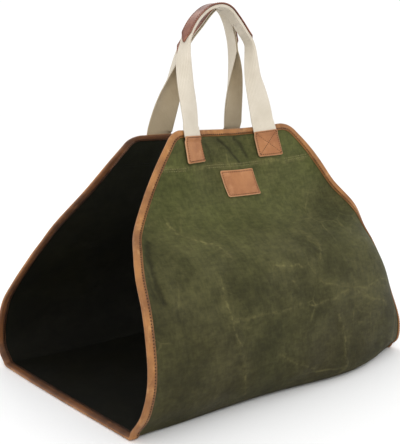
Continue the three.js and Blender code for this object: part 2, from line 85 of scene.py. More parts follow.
@dataclass(frozen=True)
class Course:
    """One course across the sheet, at a share of the panel's drop from its rim.

    left, middle and right are (out, up) shares of reach and of the rim's height.
    """

    down: float
    reach: float
    left: tuple[float, float]
    middle: tuple[float, float]
    right: tuple[float, float]
    curl: float


@dataclass(frozen=True)
class Fold:
    """A soft dent or swelling of the cloth, in shares of the sheet's sizes."""

    side: Side
    across: float
    down: float
    lean: float
    long: float
    wide: float
    depth: float


@dataclass(frozen=True)
class Crease:
    """A pressed line in the waxed cloth through flat places (across, drop), in millimetres.

    height is how far the cloth stands out along it and mark how pale the wax has become there; a mark
    below zero is painted shade along the crease instead.
    """

    side: Side
    places: tuple[tuple[float, float], ...]
    height: float
    mark: float
    width: float = 2.2

    def segments(self) -> list[tuple[Array, Array]]:
        """Straight parts of the line."""
        places = [np.array(place, float) for place in self.places]
        return list(zip(places[:-1], places[1:]))


RIM_REACH = 36.0
BELLY_REACH = 178.0
FOOT_REACH = 145.0

FRONT_COURSES = (
    Course(0, RIM_REACH, (1.2, 1), (0.8, 0.99), (1.04, 1.01), 2),
    Course(0.1, BELLY_REACH, (0.3, 0.89), (0.245, 0.885), (0.32, 0.91), 2),
    Course(0.21, BELLY_REACH, (0.372, 0.77), (0.35, 0.752), (0.42, 0.78), 2),
    Course(0.33, BELLY_REACH, (0.495, 0.66), (0.52, 0.645), (0.5, 0.662), 3),
    Course(0.42, BELLY_REACH, (0.65, 0.6), (0.69, 0.588), (0.555, 0.555), 4),
    Course(0.5, BELLY_REACH, (0.775, 0.535), (0.84, 0.53), (0.61, 0.46), 5),
    Course(0.585, BELLY_REACH, (0.905, 0.45), (0.935, 0.43), (0.685, 0.356), 6),
    Course(0.68, BELLY_REACH, (0.98, 0.34), (0.99, 0.322), (0.77, 0.256), 6),
    Course(0.785, BELLY_REACH, (1, 0.22), (1.01, 0.206), (0.865, 0.144), 5),
    Course(0.875, BELLY_REACH, (0.95, 0.11), (0.99, 0.1), (0.855, 0.056), 4),
    Course(0.96, BELLY_REACH, (0.84, 0.024), (0.89, 0.022), (0.79, 0.016), 4),
    Course(1, FOOT_REACH, (1, 0), (1, 0), (0.95, 0), 4),
)
BACK_COURSES = (
    Course(0, RIM_REACH, (1.24, 0.966), (0.85, 0.97), (1.14, 0.978), 2),
    Course(0.1, BELLY_REACH, (0.28, 0.88), (0.26, 0.88), (0.31, 0.89), 2),
    Course(0.21, BELLY_REACH, (0.41, 0.75), (0.37, 0.75), (0.42, 0.765), 2),
    Course(0.33, BELLY_REACH, (0.54, 0.63), (0.52, 0.64), (0.51, 0.645), 3),
    Course(0.42, BELLY_REACH, (0.62, 0.54), (0.65, 0.565), (0.55, 0.55), 4),
    Course(0.5, BELLY_REACH, (0.68, 0.46), (0.775, 0.49), (0.61, 0.46), 4),
    Course(0.585, BELLY_REACH, (0.78, 0.37), (0.9, 0.4), (0.69, 0.36), 4),
    Course(0.68, BELLY_REACH, (0.9, 0.28), (0.985, 0.295), (0.78, 0.262), 4),
    Course(0.785, BELLY_REACH, (0.99, 0.165), (1.01, 0.18), (0.83, 0.15), 4),
    Course(0.875, BELLY_REACH, (0.99, 0.07), (0.98, 0.08), (0.82, 0.05), 4),
    Course(0.96, BELLY_REACH, (0.9, 0.012), (0.87, 0.015), (0.79, 0.006), 3),
    Course(1, FOOT_REACH, (1.06, 0), (1.03, 0), (1, 0), 2),
)
FOLDS = (
    Fold(Side.FRONT, -0.16, 0.07, 0, 0.12, 0.06, 0.9),
    Fold(Side.FRONT, -0.42, 0.07, 0, 0.12, 0.06, -0.8),
    Fold(Side.FRONT, 0.05, 0.08, -28, 0.08, 0.03, 0.35),
    Fold(Side.FRONT, 0.16, 0.08, -12, 0.09, 0.035, 0.35),
    Fold(Side.FRONT, 0.38, 0.08, 0, 0.1, 0.05, -0.35),
    Fold(Side.FRONT, 0.62, 0.3, 40, 0.12, 0.05, 0.6),
    Fold(Side.FRONT, 0.82, 0.36, 30, 0.14, 0.05, -0.5),
    Fold(Side.FRONT, -0.72, 0.52, 12, 0.12, 0.04, 0.6),
    Fold(Side.FRONT, -0.5, 0.56, 24, 0.1, 0.045, 0.45),
    Fold(Side.FRONT, 0.42, 0.98, 90, 0.22, 0.1, -2.6),
    Fold(Side.BACK, -0.3, 0.1, 14, 0.09, 0.04, 0.4),
    Fold(Side.BACK, 0.3, 0.34, -36, 0.14, 0.05, 0.6),
    Fold(Side.BACK, 0.55, 0.56, 62, 0.14, 0.05, 0.5),
    Fold(Side.BACK, -0.5, 0.62, -20, 0.12, 0.045, 0.5),
)


def smooth_step(value: Array, low: float, high: float) -> Array:
    """Rise smoothly from 0 at low to 1 at high.

    Args:
        value: Numbers to shape.
        low: Where the rise starts.
        high: Where the rise ends.

    Returns:
        Shares from 0 to 1.
    """
    share = np.clip((value - low) / (high - low), 0, 1)
    return share * share * (3 - 2 * share)


def unit(rows: Array) -> Array:
    """Vectors of length 1 along the last axis."""
    return rows / np.maximum(np.linalg.norm(rows, axis=-1, keepdims=True), 1e-9)


def distances(points: Array) -> Array:
    """Distance along a run of points, from its first one to each."""
    return np.concatenate([[0], np.cumsum(np.linalg.norm(np.diff(points, axis=0), axis=1))])


def along_run(distance: Array, run: Array, values: Array) -> Array:
    """Rows of values at distances along a run."""
    return np.stack([np.interp(distance, run, column) for column in values.T], axis=-1)


def flat_places(across: Array, along: Array) -> Array:
    """Flat coordinates in metres, one row for each vertex."""
    return np.stack(np.broadcast_arrays(across, along), axis=-1).reshape(-1, 2) * MM


@dataclass(frozen=True)
class LeatherEdge:
    """Section of a leather piece near its edge, rounded there and pressed in along its seam."""

    reach: float
    least: float
    seam: float
    groove_depth: float
    groove_width: float

    def share(self, from_edge: Array) -> Array:
        """Share of the full thickness at distances in from the edge."""
        left = 1 - np.clip(from_edge, 0, self.reach) / self.reach
        eased = self.least + (1 - self.least) * np.sqrt(np.clip(1 - left**2, 0, 1))
        groove = self.groove_depth * np.exp(-(((from_edge - self.seam) / self.groove_width) ** 2))
        return eased - groove


@dataclass(frozen=True)
class SheetForm:
    """Shape of the laden sheet over its flat cut: across from its middle, along from its keel."""

    width: float = 480.0
    rim_width: float = 216.0
    taper_length: float = 194.0
    shoulder: float = 22.0
    corner: float = 30.0
    thickness: float = 2.0
    panel_drop: float = 410.0
    rim_height: float = 338.0
    end_bow: float = 15.0
    fold_depth: float = 8.0
    binding_depth: float = 9.0
    binding_thickness: float = 1.3
    clearance: float = 0.35
    seat_gap: float = 0.9
    facing_drop: float = 52.0
    facing_step: float = 0.3
    facing_ridge: float = 0.5
    swell_height: float = 1.3
    ripple_height: float = 0.4
    crease_spread: float = 6.0
    front: tuple[Course, ...] = FRONT_COURSES
    back: tuple[Course, ...] = BACK_COURSES
    folds: tuple[Fold, ...] = FOLDS
    creases: tuple[Crease, ...] = ()
    smooth: bool = False

    @property
    def half_length(self) -> float:
        """Distance along the sheet from the keel to a rim."""
        return self.panel_drop + FOOT_REACH

    @property
    def skin(self) -> float:
        """Half of the cloth's thickness."""
        return self.thickness / 2

    @property
    def binding_inner(self) -> float:
        """Height of the binding's inner face over the cloth's middle."""
        return self.skin + self.clearance

    @property
    def binding_outer(self) -> float:
        """Height of the binding's outer face over the cloth's middle."""
        return self.binding_inner + self.binding_thickness

    @property
    def slope(self) -> float:
        """Widening of the half sheet for each millimetre down the taper."""
        return (self.width - self.rim_width) / 2 / self.taper_length

    def along(self, side: Side, drop: Array) -> Array:
        """Give the signed distance from the keel of a distance down from a rim."""
        return side.value * (self.half_length - np.asarray(drop, float))

    def half_width(self, drop: Array) -> Array:
        """Half width of the sheet at a distance down from a rim, corners not rounded."""
        spare = (self.width - self.rim_width) / 2 - self.slope * np.asarray(drop, float)
        return self.width / 2 - self.shoulder * np.logaddexp(0, spare / self.shoulder)

    def _section(self, share: Array, along: Array) -> tuple[Array, Array]:
        """Follow the smooth cross-section at each share across, out to each distance along.

        Args:
            share: Places across, from -1 at the left edge to 1 at the right one.
            along: Distances from the keel.

        Returns:
            Depth and height of the places.
        """
        right = share > 0
        size = np.abs(share)
        stations: list[float] = []
        depths: list[Array] = []
        heights: list[Array] = []

        def add_course(course: Course, side: Side) -> None:
            """Add one course of a panel to the section's knots."""
            weight = np.where(right, size**course.curl, size**2)
            edge_out = np.where(right, course.right[0], course.left[0])
            edge_up = np.where(right, course.right[1], course.left[1])
            out = (course.middle[0] + (edge_out - course.middle[0]) * weight) * course.reach
            up = (course.middle[1] + (edge_up - course.middle[1]) * weight) * self.rim_height
            stations.append(side.value * (self.half_length - course.down * self.panel_drop))
            depths.append(side.value * out)
            heights.append(up)

        for course in self.front:
            add_course(course, Side.FRONT)
        for sole in (-0.8 * FOOT_REACH, 0.8 * FOOT_REACH):
            stations.append(sole)
            depths.append(np.full_like(size, sole))
            heights.append(np.zeros_like(size))
        for course in reversed(self.back):
            add_course(course, Side.BACK)
        at = np.array(stations)
        last = len(at) - 1
        index = np.clip(np.searchsorted(at, along, side="right") - 1, 0, last - 1)
        rows = np.arange(len(size))
        span = at[index + 1] - at[index]
        step = (along - at[index]) / span
        results = []
        for values in (np.stack(depths), np.stack(heights)):
            slopes = np.empty_like(values)
            slopes[1:-1] = (values[2:] - values[:-2]) / (at[2:] - at[:-2])[:, None]
            slopes[0] = (values[1] - values[0]) / (at[1] - at[0])
            slopes[-1] = (values[-1] - values[-2]) / (at[-1] - at[-2])
            near, far = values[index, rows], values[index + 1, rows]
            leave, reach = slopes[index, rows], slopes[index + 1, rows]
            square, cube = step**2, step**3
            inside = (2 * cube - 3 * square + 1) * near + (3 * square - 2 * cube) * far
            inside += span * ((cube - 2 * square + step) * leave + (cube - square) * reach)
            before = values[0] + slopes[0] * (along - at[0])
            after = values[-1] + slopes[-1] * (along - at[-1])
            inside = np.where(along < at[0], before, inside)
            results.append(np.where(along > at[-1], after, inside))
        return results[0], results[1]

    def _fold_depth(self, across: Array, along: Array) -> Array:
        """How far the folds push the cloth in at flat places."""
        drop = self.half_length - np.abs(along)
        depth = np.zeros_like(along)
        for fold in self.folds:
            lean = math.radians(fold.lean)
            right = across - fold.across * self.width / 2
            down = drop - fold.down * self.panel_drop
            lengthwise = (down * math.cos(lean) - right * math.sin(lean)) / (fold.long * self.width)
            sideways = (right * math.cos(lean) + down * math.sin(lean)) / (fold.wide * self.width)
            bump = fold.depth * self.fold_depth * np.exp(-(lengthwise**2) - sideways**2)
            depth += np.where(fold.side.value * along >= 0, bump, 0)
        return depth

    def middle(self, across: Array, along: Array) -> Array:
        """Middle of the cloth at flat places.

        Args:
            across: Distances across from the sheet's middle line.
            along: Distances along from its keel.

        Returns:
            Points, one row each.
        """
        share = across / self.half_width(self.half_length - np.abs(along))
        depth, height = self._section(share, along)
        rising = smooth_step(along, -self.panel_drop, FOOT_REACH)
        fade = smooth_step(
            along, FOOT_REACH + self.panel_drop * 0.3, FOOT_REACH + self.panel_drop * 0.6
        )
        bow = np.where(share < 0, self.end_bow * rising * (1 - fade) * share * np.abs(share), 0)
        near_end = smooth_step(np.abs(share), 0.72, 0.93)
        near_ground = 1 - smooth_step(height, 0, self.rim_height * 0.1)
        lift = (self.binding_outer - self.skin) * near_end * near_ground
        fold = np.sign(along) * self._fold_depth(across, along)
        up = np.maximum(height, 0) + self.skin + lift
        return np.stack([across + bow, depth - fold, up], axis=-1)

    def relief(self, across: Array, along: Array) -> Array:
        """Fine swell of the cloth over its main shape, with its pressed creases."""
        if self.smooth:
            return np.zeros_like(across)
        drop = self.half_length - np.abs(along)
        body = smooth_step(drop, 70, 150) * (1 - smooth_step(drop, 360, 400))
        swell = np.sin(across / 34 + 1.3 * np.sin(along / 47)) * np.sin(along / 43 + np.sin(across / 51))
        ripple = np.sin(across / 13 + along / 19 + 1.6 * np.sin(along / 29))
        ripple *= np.sin(along / 37 - across / 61)
        height = body * (self.swell_height * swell + self.ripple_height * ripple)
        inside = smooth_step(self.half_width(drop) - np.abs(across), 8, 26)
        for crease in self.creases:
            height += crease.height * inside * self._crease_nearness(crease, across, along)
        edge = smooth_step(self.half_width(drop) - np.abs(across), 6, 14)
        step = self.facing_step * (1 - smooth_step(drop, self.facing_drop, self.facing_drop + 5))
        ridge = self.facing_ridge * np.exp(-(((drop - self.facing_drop) / 3.2) ** 2))
        return height + (step + ridge) * edge

    def _crease_nearness(self, crease: Crease, across: Array, along: Array) -> Array:
        """How near flat places are to a crease, 1 on its line and falling to 0."""
        drop = self.half_length - np.abs(along)
        near = np.zeros_like(across)
        for start, end in crease.segments():
            run = end - start
            share = ((across - start[0]) * run[0] + (drop - start[1]) * run[1]) / (run @ run)
            held = np.clip(share, 0, 1)
            off = np.hypot(across - start[0] - held * run[0], drop - start[1] - held * run[1])
            near = np.maximum(near, np.exp(-((off / self.crease_spread) ** 2)))
        return np.where(crease.side.value * along > 0, near, 0)

    def place(self, across: Array, along: Array, height: Array | float) -> Array:
        """Points at a height over the middle of the cloth, outwards from the load.

        Args:
            across: Distances across from the sheet's middle line.
            along: Distances along from its keel.
            height: Heights over the middle of the cloth.

        Returns:
            Points, one row each.
        """
        across, along = np.broadcast_arrays(np.asarray(across, float), np.asarray(along, float))
        shape = across.shape
        across, along = across.ravel(), along.ravel()
        over = np.broadcast_to(np.asarray(height, float), shape).ravel()
        reach = 1.5
        acrossway = self.middle(across + reach, along) - self.middle(across - reach, along)
        alongway = self.middle(across, along + reach) - self.middle(across, along - reach)
        lifted = (over + self.relief(across, along))[:, None] * unit(np.cross(alongway, acrossway))
        return (self.middle(across, along) + lifted).reshape(*shape, 3)


# A mark below zero paints shade along a deep crease; above zero it is pale wax.
CREASES = (
    Crease(Side.FRONT, ((-146, 122), (-140, 147), (-120, 163), (-97, 173), (-90, 196)), 0.9, 0.8, 3.0),
    Crease(Side.FRONT, ((-119, 221), (-118, 251), (-115, 282), (-103, 329), (-90, 373)), 0.8, 0.75),
    Crease(Side.FRONT, ((-123, 271), (-64, 267), (-4, 268)), 0.5, 0.45, 3.2),
    Crease(Side.FRONT, ((41, 244), (101, 268), (181, 296)), 0.6, 0.6),
    Crease(Side.FRONT, ((20, 272), (101, 267), (195, 262)), 0.6, 0.65),
    Crease(Side.FRONT, ((108, 293), (100, 311)), 0.3, 0.6),
    Crease(Side.FRONT, ((114, 301), (142, 307), (140, 322), (114, 317)), 0.2, 0.45, 1.4),
    Crease(Side.FRONT, ((70, 299), (82, 336), (82, 354), (81, 384)), 0.8, 0.8, 4.0),
    Crease(Side.FRONT, ((-50, 322), (-27, 336), (18, 362)), 0.4, 0.5),
    Crease(Side.FRONT, ((-32, 215), (-8, 217), (15, 221)), 0.3, 0.8, 2.6),
    Crease(Side.FRONT, ((-8, 235), (4, 254)), 0.3, 0.55, 1.6),
    Crease(Side.FRONT, ((52, 170), (67, 198), (58, 214)), 0.7, 0.6, 3.4),
    Crease(Side.FRONT, ((-186, 150), (-198, 172), (-206, 200), (-204, 236)), -3.0, -0.8, 3.0),
    Crease(Side.FRONT, ((-214, 186), (-214, 224)), -1.4, -0.6, 2.4),
    Crease(Side.FRONT, ((-176, 214), (-185, 240)), -1.2, 0.4),
    Crease(Side.FRONT, ((-190, 250), (-182, 300)), -1.0, -0.4, 3.0),
    Crease(Side.FRONT, ((-16, 12), (-2, 26), (12, 48)), -2.2, -0.9, 2.4),
    Crease(Side.FRONT, ((12, 12), (22, 22), (28, 40)), -1.6, -0.8, 2.2),
    Crease(Side.FRONT, ((-42, 14), (-36, 44)), -0.9, -0.4, 2.4),
    Crease(Side.FRONT, ((200, 140), (216, 190), (222, 262)), 0.4, 0.6, 5.0),
    Crease(Side.FRONT, ((-120, 104), (-134, 142)), 0.4, 0.4),
    Crease(Side.BACK, ((-150, 190), (-60, 214), (24, 196), (96, 230)), 0.8, 0.7),
    Crease(Side.BACK, ((60, 120), (84, 180), (70, 250), (104, 330)), 0.8, 0.7, 3.0),
    Crease(Side.BACK, ((-110, 300), (-20, 280), (50, 316)), 0.6, 0.6),
    Crease(Side.BACK, ((-196, 250), (-150, 330)), 0.7, 0.6, 3.0),
)
FORM = SheetForm(creases=CREASES)


def frame_shift() -> Array:
    """Find the move, in millimetres, from the form's own origin to the row frame's.

    Returns:
        The move along each axis.
    """
    label = LabelPatch()
    plain = SheetForm(creases=(), smooth=True)
    own = label.points(FORM.skin + FORM.seat_gap, label.thickness, plain).reshape(-1, 3)
    low, high = (np.array(corner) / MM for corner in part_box("label_patch"))
    shift = (low + high) / 2 - (own.min(axis=0) + own.max(axis=0)) / 2
    return np.array([shift[0], shift[1], 0.0])


# Mesh making


@lru_cache(maxsize=1)
def _shift() -> tuple[float, float, float]:
    """Keep the move to the row frame once it is found."""
    return tuple(frame_shift())


def make_object(
    name: str,
    points: Array,
    faces: Array,
    material: Material,
    flat: Array | None = None,
) -> Piece:
    """Build a smooth mesh object in the row frame that rides on the root.

    Args:
        name: Name of the piece.
        points: Places in millimetres, one row each.
        faces: Vertex indices of each face.
        material: Finish of the piece.
        flat: Flat coordinates of each vertex, in metres.

    Returns:
        The new object.
    """
    mesh = bpy.data.meshes.new(name)
    places = (np.asarray(points) + np.array(_shift())) * MM
    mesh.from_pydata(places.tolist(), [], faces.tolist())
    mesh.materials.append(material)
    mesh.polygons.foreach_set("use_smooth", np.ones(len(mesh.polygons), bool))
    if flat is not None:
        loops = np.empty(len(mesh.loops), np.int32)
        mesh.loops.foreach_get("vertex_index", loops)
        layer = mesh.uv_layers.new(name="flat")
        layer.data.foreach_set("uv", flat.astype(np.float32)[loops].ravel())
    mesh.update()
    piece = bpy.data.objects.new(name, mesh)
    bpy.context.scene.collection.objects.link(piece)
    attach(piece, "root")
    return piece


def grid_faces(rows: int, columns: int, ring: bool = False) -> Array:
    """Quads over a grid of vertices kept row by row.

    Args:
        rows: Number of rows.
        columns: Number of vertices in a row.
        ring: Whether each row closes on itself.

    Returns:
        Faces, four indices each.
    """
    across = np.arange(columns if ring else columns - 1)
    row = np.arange(rows - 1)[:, None] * columns
    here, there = row + across, row + (across + 1) % columns
    return np.stack([here, there, there + columns, here + columns], axis=-1).reshape(-1, 4)


def sheet_solid(rows: int, columns: int) -> Array:
    """Faces of a closed sheet: an upper grid, a lower grid and the wall between their edges.

    Args:
        rows: Rows of each grid.
        columns: Columns of each grid.

    Returns:
        Faces that point outwards when the upper grid's own faces do.
    """
    count = rows * columns
    upper = grid_faces(rows, columns)
    lower = upper[:, ::-1] + count
    grid = np.arange(count).reshape(rows, columns)
    edge = np.concatenate([grid[0, :-1], grid[:-1, -1], grid[-1, :0:-1], grid[:0:-1, 0]])
    after = np.roll(edge, -1)
    wall = np.stack([after, edge, edge + count, after + count], axis=-1)
    return np.concatenate([upper, lower, wall])


def facing_out(points: Array, faces: Array) -> Array:
    """Turn the faces of a closed mesh so that they point outwards.

    Args:
        points: Places of the vertices.
        faces: Four indices each.

    Returns:
        The faces, turned over if the mesh was inside out.
    """
    a, b, c, d = (points[faces[:, k]] for k in range(4))
    volume = np.einsum("ij,ij->i", a, np.cross(b, c) + np.cross(c, d)).sum()
    return faces[:, ::-1] if volume < 0 else faces


def sheet_object(
    name: str,
    points: Array,
    flat: Array,
    outside: Material,
    inside: Material | None = None,
) -> Piece:
    """Build a closed sheet between an upper and a lower grid of points.

    Args:
        name: Name of the piece.
        points: The upper grid and the lower one, in millimetres.
        flat: Flat coordinates of one grid, in metres.
        outside: Finish of the piece.
        inside: Finish of the lower faces, where it differs.

    Returns:
        The new object.
    """
    rows, columns = points.shape[1:3]
    places = points.reshape(-1, 3)
    faces = facing_out(places, sheet_solid(rows, columns))
    piece = make_object(name, places, faces, outside, np.concatenate([flat, flat]))
    if inside:
        piece.data.materials.append(inside)
        count = (rows - 1) * (columns - 1)
        slots = np.zeros(len(faces), np.int32)
        slots[count : 2 * count] = 1
        piece.data.polygons.foreach_set("material_index", slots)
    return piece


@dataclass(frozen=True)
class StitchRow:
    """A run of stitches along a path on a surface.

    Each of the rings is a place along a stitch, a girth and a rise, in shares of its sizes.
    """

    pitch: float
    length: float
    radius: float
    sink: float
    flatness: float = 1.25
    sides: int = 6
    rings: tuple[tuple[float, float, float], ...] = (
        (-1.0, 0.25, -1.1),
        (-0.72, 0.85, 0.0),
        (0.0, 1.0, 0.25),
        (0.72, 0.85, 0.0),
        (1.0, 0.25, -1.1),
    )

    def geometry(self, path: Array, outward: Array, closed: bool = False) -> tuple[Array, Array]:
        """Lay the stitches of the run.

        Args:
            path: Points along the run, in millimetres.
            outward: Directions out of the surface at the points.
            closed: Whether the run comes back to its start.

        Returns:
            Points and faces of all its stitches.
        """
        if closed:
            path = np.concatenate([path, path[:1]])
            outward = np.concatenate([outward, outward[:1]])
        run = distances(path)
        count = max(int(run[-1] / self.pitch), 1)
        centres = (np.arange(count) + 0.5) * run[-1] / count
        half = self.length / 2
        up = unit(along_run(centres, run, outward))
        way = unit(along_run(centres + half, run, path) - along_run(centres - half, run, path))
        aside = np.cross(way, up) * self.flatness
        angles = np.arange(self.sides) * math.tau / self.sides
        points = []
        for share, girth, rise in self.rings:
            reach = girth * self.radius
            base = along_run(centres + share * half, run, path)
            base += up * (rise * self.radius - self.sink + self.radius * 0.5)
            for angle in angles:
                points.append(base + (aside * math.cos(angle) + up * math.sin(angle)) * reach)
        points = np.stack(points, axis=1)
        one = grid_faces(len(self.rings), self.sides, ring=True)
        faces = (one[None] + (np.arange(count) * points.shape[1])[:, None, None]).reshape(-1, 4)
        return points.reshape(-1, 3), faces


EDGE_STITCHES = StitchRow(3.6, 1.9, 0.6, 0.3)
PATCH_STITCHES = StitchRow(3.0, 1.7, 0.48, 0.06)
GRIP_STITCHES = StitchRow(3.6, 2.5, 0.34, 0.12)
FACING_STITCHES = StitchRow(3.4, 2.5, 0.3, 0.1)


def surface_run(across: Array, along: Array, height: Array | float) -> tuple[Array, Array]:
    """Points and outward directions of a run over the sheet, for stitches.

    Args:
        across: Flat places across.
        along: Flat places along.
        height: Height over the middle of the cloth.

    Returns:
        Points and unit directions.
    """
    on = FORM.place(across, along, height)
    over = FORM.place(across, along, np.asarray(height) + 1.0)
    return on, over - on


def stitch_object(name: str, runs: list[tuple[Array, Array]], material: Material) -> Piece:
    """Join the stitches of several runs in one object.

    Args:
        name: Name of the piece.
        runs: Points and faces of each run.
        material: Thread finish.

    Returns:
        The new object.
    """
    points, faces, first = [], [], 0
    for places, quads in runs:
        points.append(places)
        faces.append(quads + first)
        first += len(places)
    return make_object(name, np.concatenate(points), np.concatenate(faces), material)


# Finishes


class Graph:
    """A material's node tree, with short calls for the nodes that the finishes use."""

    def __init__(self, name: str) -> None:
        """Start a material with its shader.

        Args:
            name: Name of the material.
        """
        self.material = bpy.data.materials.new(name)
        self.material.use_nodes = True
        self.tree = self.material.node_tree
        self.shader = self.tree.nodes["Principled BSDF"]
        uv = self.tree.nodes.new("ShaderNodeUVMap")
        uv.uv_map = "flat"
        self.flat = uv.outputs[0]

    def feed(self, socket: Socket, value: object) -> None:
        """Link a socket to another, or set its value."""
        if isinstance(value, Socket):
            self.tree.links.new(value, socket)
        else:
            socket.default_value = value

    def colour(self, *screen: float) -> tuple[float, float, float, float]:
        """Turn screen red, green and blue from 0 to 255 into a linear colour."""
        linear = [((c / 255 + 0.055) / 1.055) ** 2.4 if c > 10 else c / 255 / 12.92 for c in screen]
        return (*linear, 1.0)

    def math(self, operation: str, first: object, second: object = 0.0) -> Socket:
        """Add a Math node and give its result."""
        node = self.tree.nodes.new("ShaderNodeMath")
        node.operation = operation
        self.feed(node.inputs[0], first)
        self.feed(node.inputs[1], second)
        return node.outputs[0]

    def times(self, first: object, second: object) -> Socket:
        """Multiply two values."""
        return self.math("MULTIPLY", first, second)

    def plus(self, first: object, second: object) -> Socket:
        """Add two values."""
        return self.math("ADD", first, second)

    def wave(self, value: Socket, pitch: float = 1.0) -> Socket:
        """Rounded ridges of a pitch along a value, from 0 to 1."""
        return self.math("ABSOLUTE", self.math("SINE", self.times(value, math.pi / pitch)))

    def spread(
        self, value: object, low: float, high: float, to_low: float = 0.0, to_high: float = 1.0
    ) -> Socket:
        """Map a value from one range to another, smoothly and held within it."""
        node = self.tree.nodes.new("ShaderNodeMapRange")
        node.interpolation_type = "SMOOTHSTEP"
        for index, number in enumerate((value, low, high, to_low, to_high)):
            self.feed(node.inputs[index], number)
        return node.outputs[0]

    def scaled(self, across: float, along: float) -> Socket:
        """Stretch flat coordinates by a factor each way."""
        node = self.tree.nodes.new("ShaderNodeMapping")
        self.feed(node.inputs["Vector"], self.flat)
        node.inputs["Scale"].default_value = (across, along, 1)
        return node.outputs[0]

    def noise(self, scale: float, detail: float, rough: float, source: Socket | None = None) -> Socket:
        """Add a noise texture over flat coordinates and give its strength."""
        node = self.tree.nodes.new("ShaderNodeTexNoise")
        self.feed(node.inputs["Vector"], source or self.flat)
        node.inputs["Scale"].default_value = scale
        node.inputs["Detail"].default_value = detail
        node.inputs["Roughness"].default_value = rough
        return node.outputs[0]

    def cells(self, scale: float, feature: str = "F1", source: Socket | None = None) -> Socket:
        """Add a cell texture over flat coordinates and give its distance."""
        node = self.tree.nodes.new("ShaderNodeTexVoronoi")
        node.feature = feature
        self.feed(node.inputs["Vector"], source or self.flat)
        node.inputs["Scale"].default_value = scale
        return node.outputs["Distance"]

    def axes(self, source: Socket | None = None) -> tuple[Socket, Socket]:
        """Split flat coordinates into across and along."""
        node = self.tree.nodes.new("ShaderNodeSeparateXYZ")
        self.feed(node.inputs[0], source or self.flat)
        return node.outputs[0], node.outputs[1]

    def vector(self, operation: str, first: object, second: object) -> bpy.types.ShaderNode:
        """Add a Vector Math node and give it."""
        node = self.tree.nodes.new("ShaderNodeVectorMath")
        node.operation = operation
        self.feed(node.inputs[0], first)
        self.feed(node.inputs[3 if operation == "SCALE" else 1], second)
        return node

    def near_line(self, source: object, start: Array, end: Array, width: float) -> Socket:
        """Share from 0 to 1 of nearness to a straight line between two flat places, in metres."""
        run = end - start
        length = float(np.linalg.norm(run))
        way = (*run / length, 0.0)
        offset = self.vector("SUBTRACT", source, (*start, 0.0)).outputs[0]
        along = self.vector("DOT_PRODUCT", offset, way).outputs["Value"]
        held = self.math("MINIMUM", self.math("MAXIMUM", along, 0.0), length)
        foot = self.vector("SCALE", way, held).outputs[0]
        off = self.vector("SUBTRACT", offset, foot).outputs[0]
        return self.spread(self.vector("LENGTH", off, (0.0, 0.0, 0.0)).outputs["Value"], width, 0.0)

    def blend(self, share: object, first: object, second: object, way: str = "MIX") -> Socket:
        """Mix two colours by a share."""
        node = self.tree.nodes.new("ShaderNodeMix")
        node.data_type = "RGBA"
        node.blend_type = way
        self.feed(node.inputs["Factor"], share)
        self.feed(node.inputs[6], first)
        self.feed(node.inputs[7], second)
        return node.outputs[2]

    def shaded(self, colour: Socket, value: Socket) -> Socket:
        """Multiply a colour by a value."""
        node = self.tree.nodes.new("ShaderNodeCombineColor")
        for socket in node.inputs[:3]:
            self.feed(socket, value)
        return self.blend(1.0, colour, node.outputs[0], "MULTIPLY")

    def object_place(self) -> Socket:
        """Place within the object, for pieces without flat coordinates."""
        return self.tree.nodes.new("ShaderNodeTexCoord").outputs["Object"]

    def bump(self, height: Socket, depth: float, strength: float) -> None:
        """Raise the surface by a height, in metres for a height of 1."""
        node = self.tree.nodes.new("ShaderNodeBump")
        node.inputs["Strength"].default_value = strength
        node.inputs["Distance"].default_value = depth
        self.feed(node.inputs["Height"], height)
        self.feed(self.shader.inputs["Normal"], node.outputs[0])

    def finish(self, base: object, rough: object, **sockets: float) -> Material:
        """Set the shader's colour, roughness and constant sockets, and give the material.

        Args:
            base: Base colour.
            rough: Roughness.
            sockets: Other sockets by name, with _ for a space.

        Returns:
            The finished material.
        """
        self.feed(self.shader.inputs["Base Color"], base)
        self.feed(self.shader.inputs["Roughness"], rough)
        for name, value in sockets.items():
            self.shader.inputs[name.replace("_", " ")].default_value = value
        return self.material


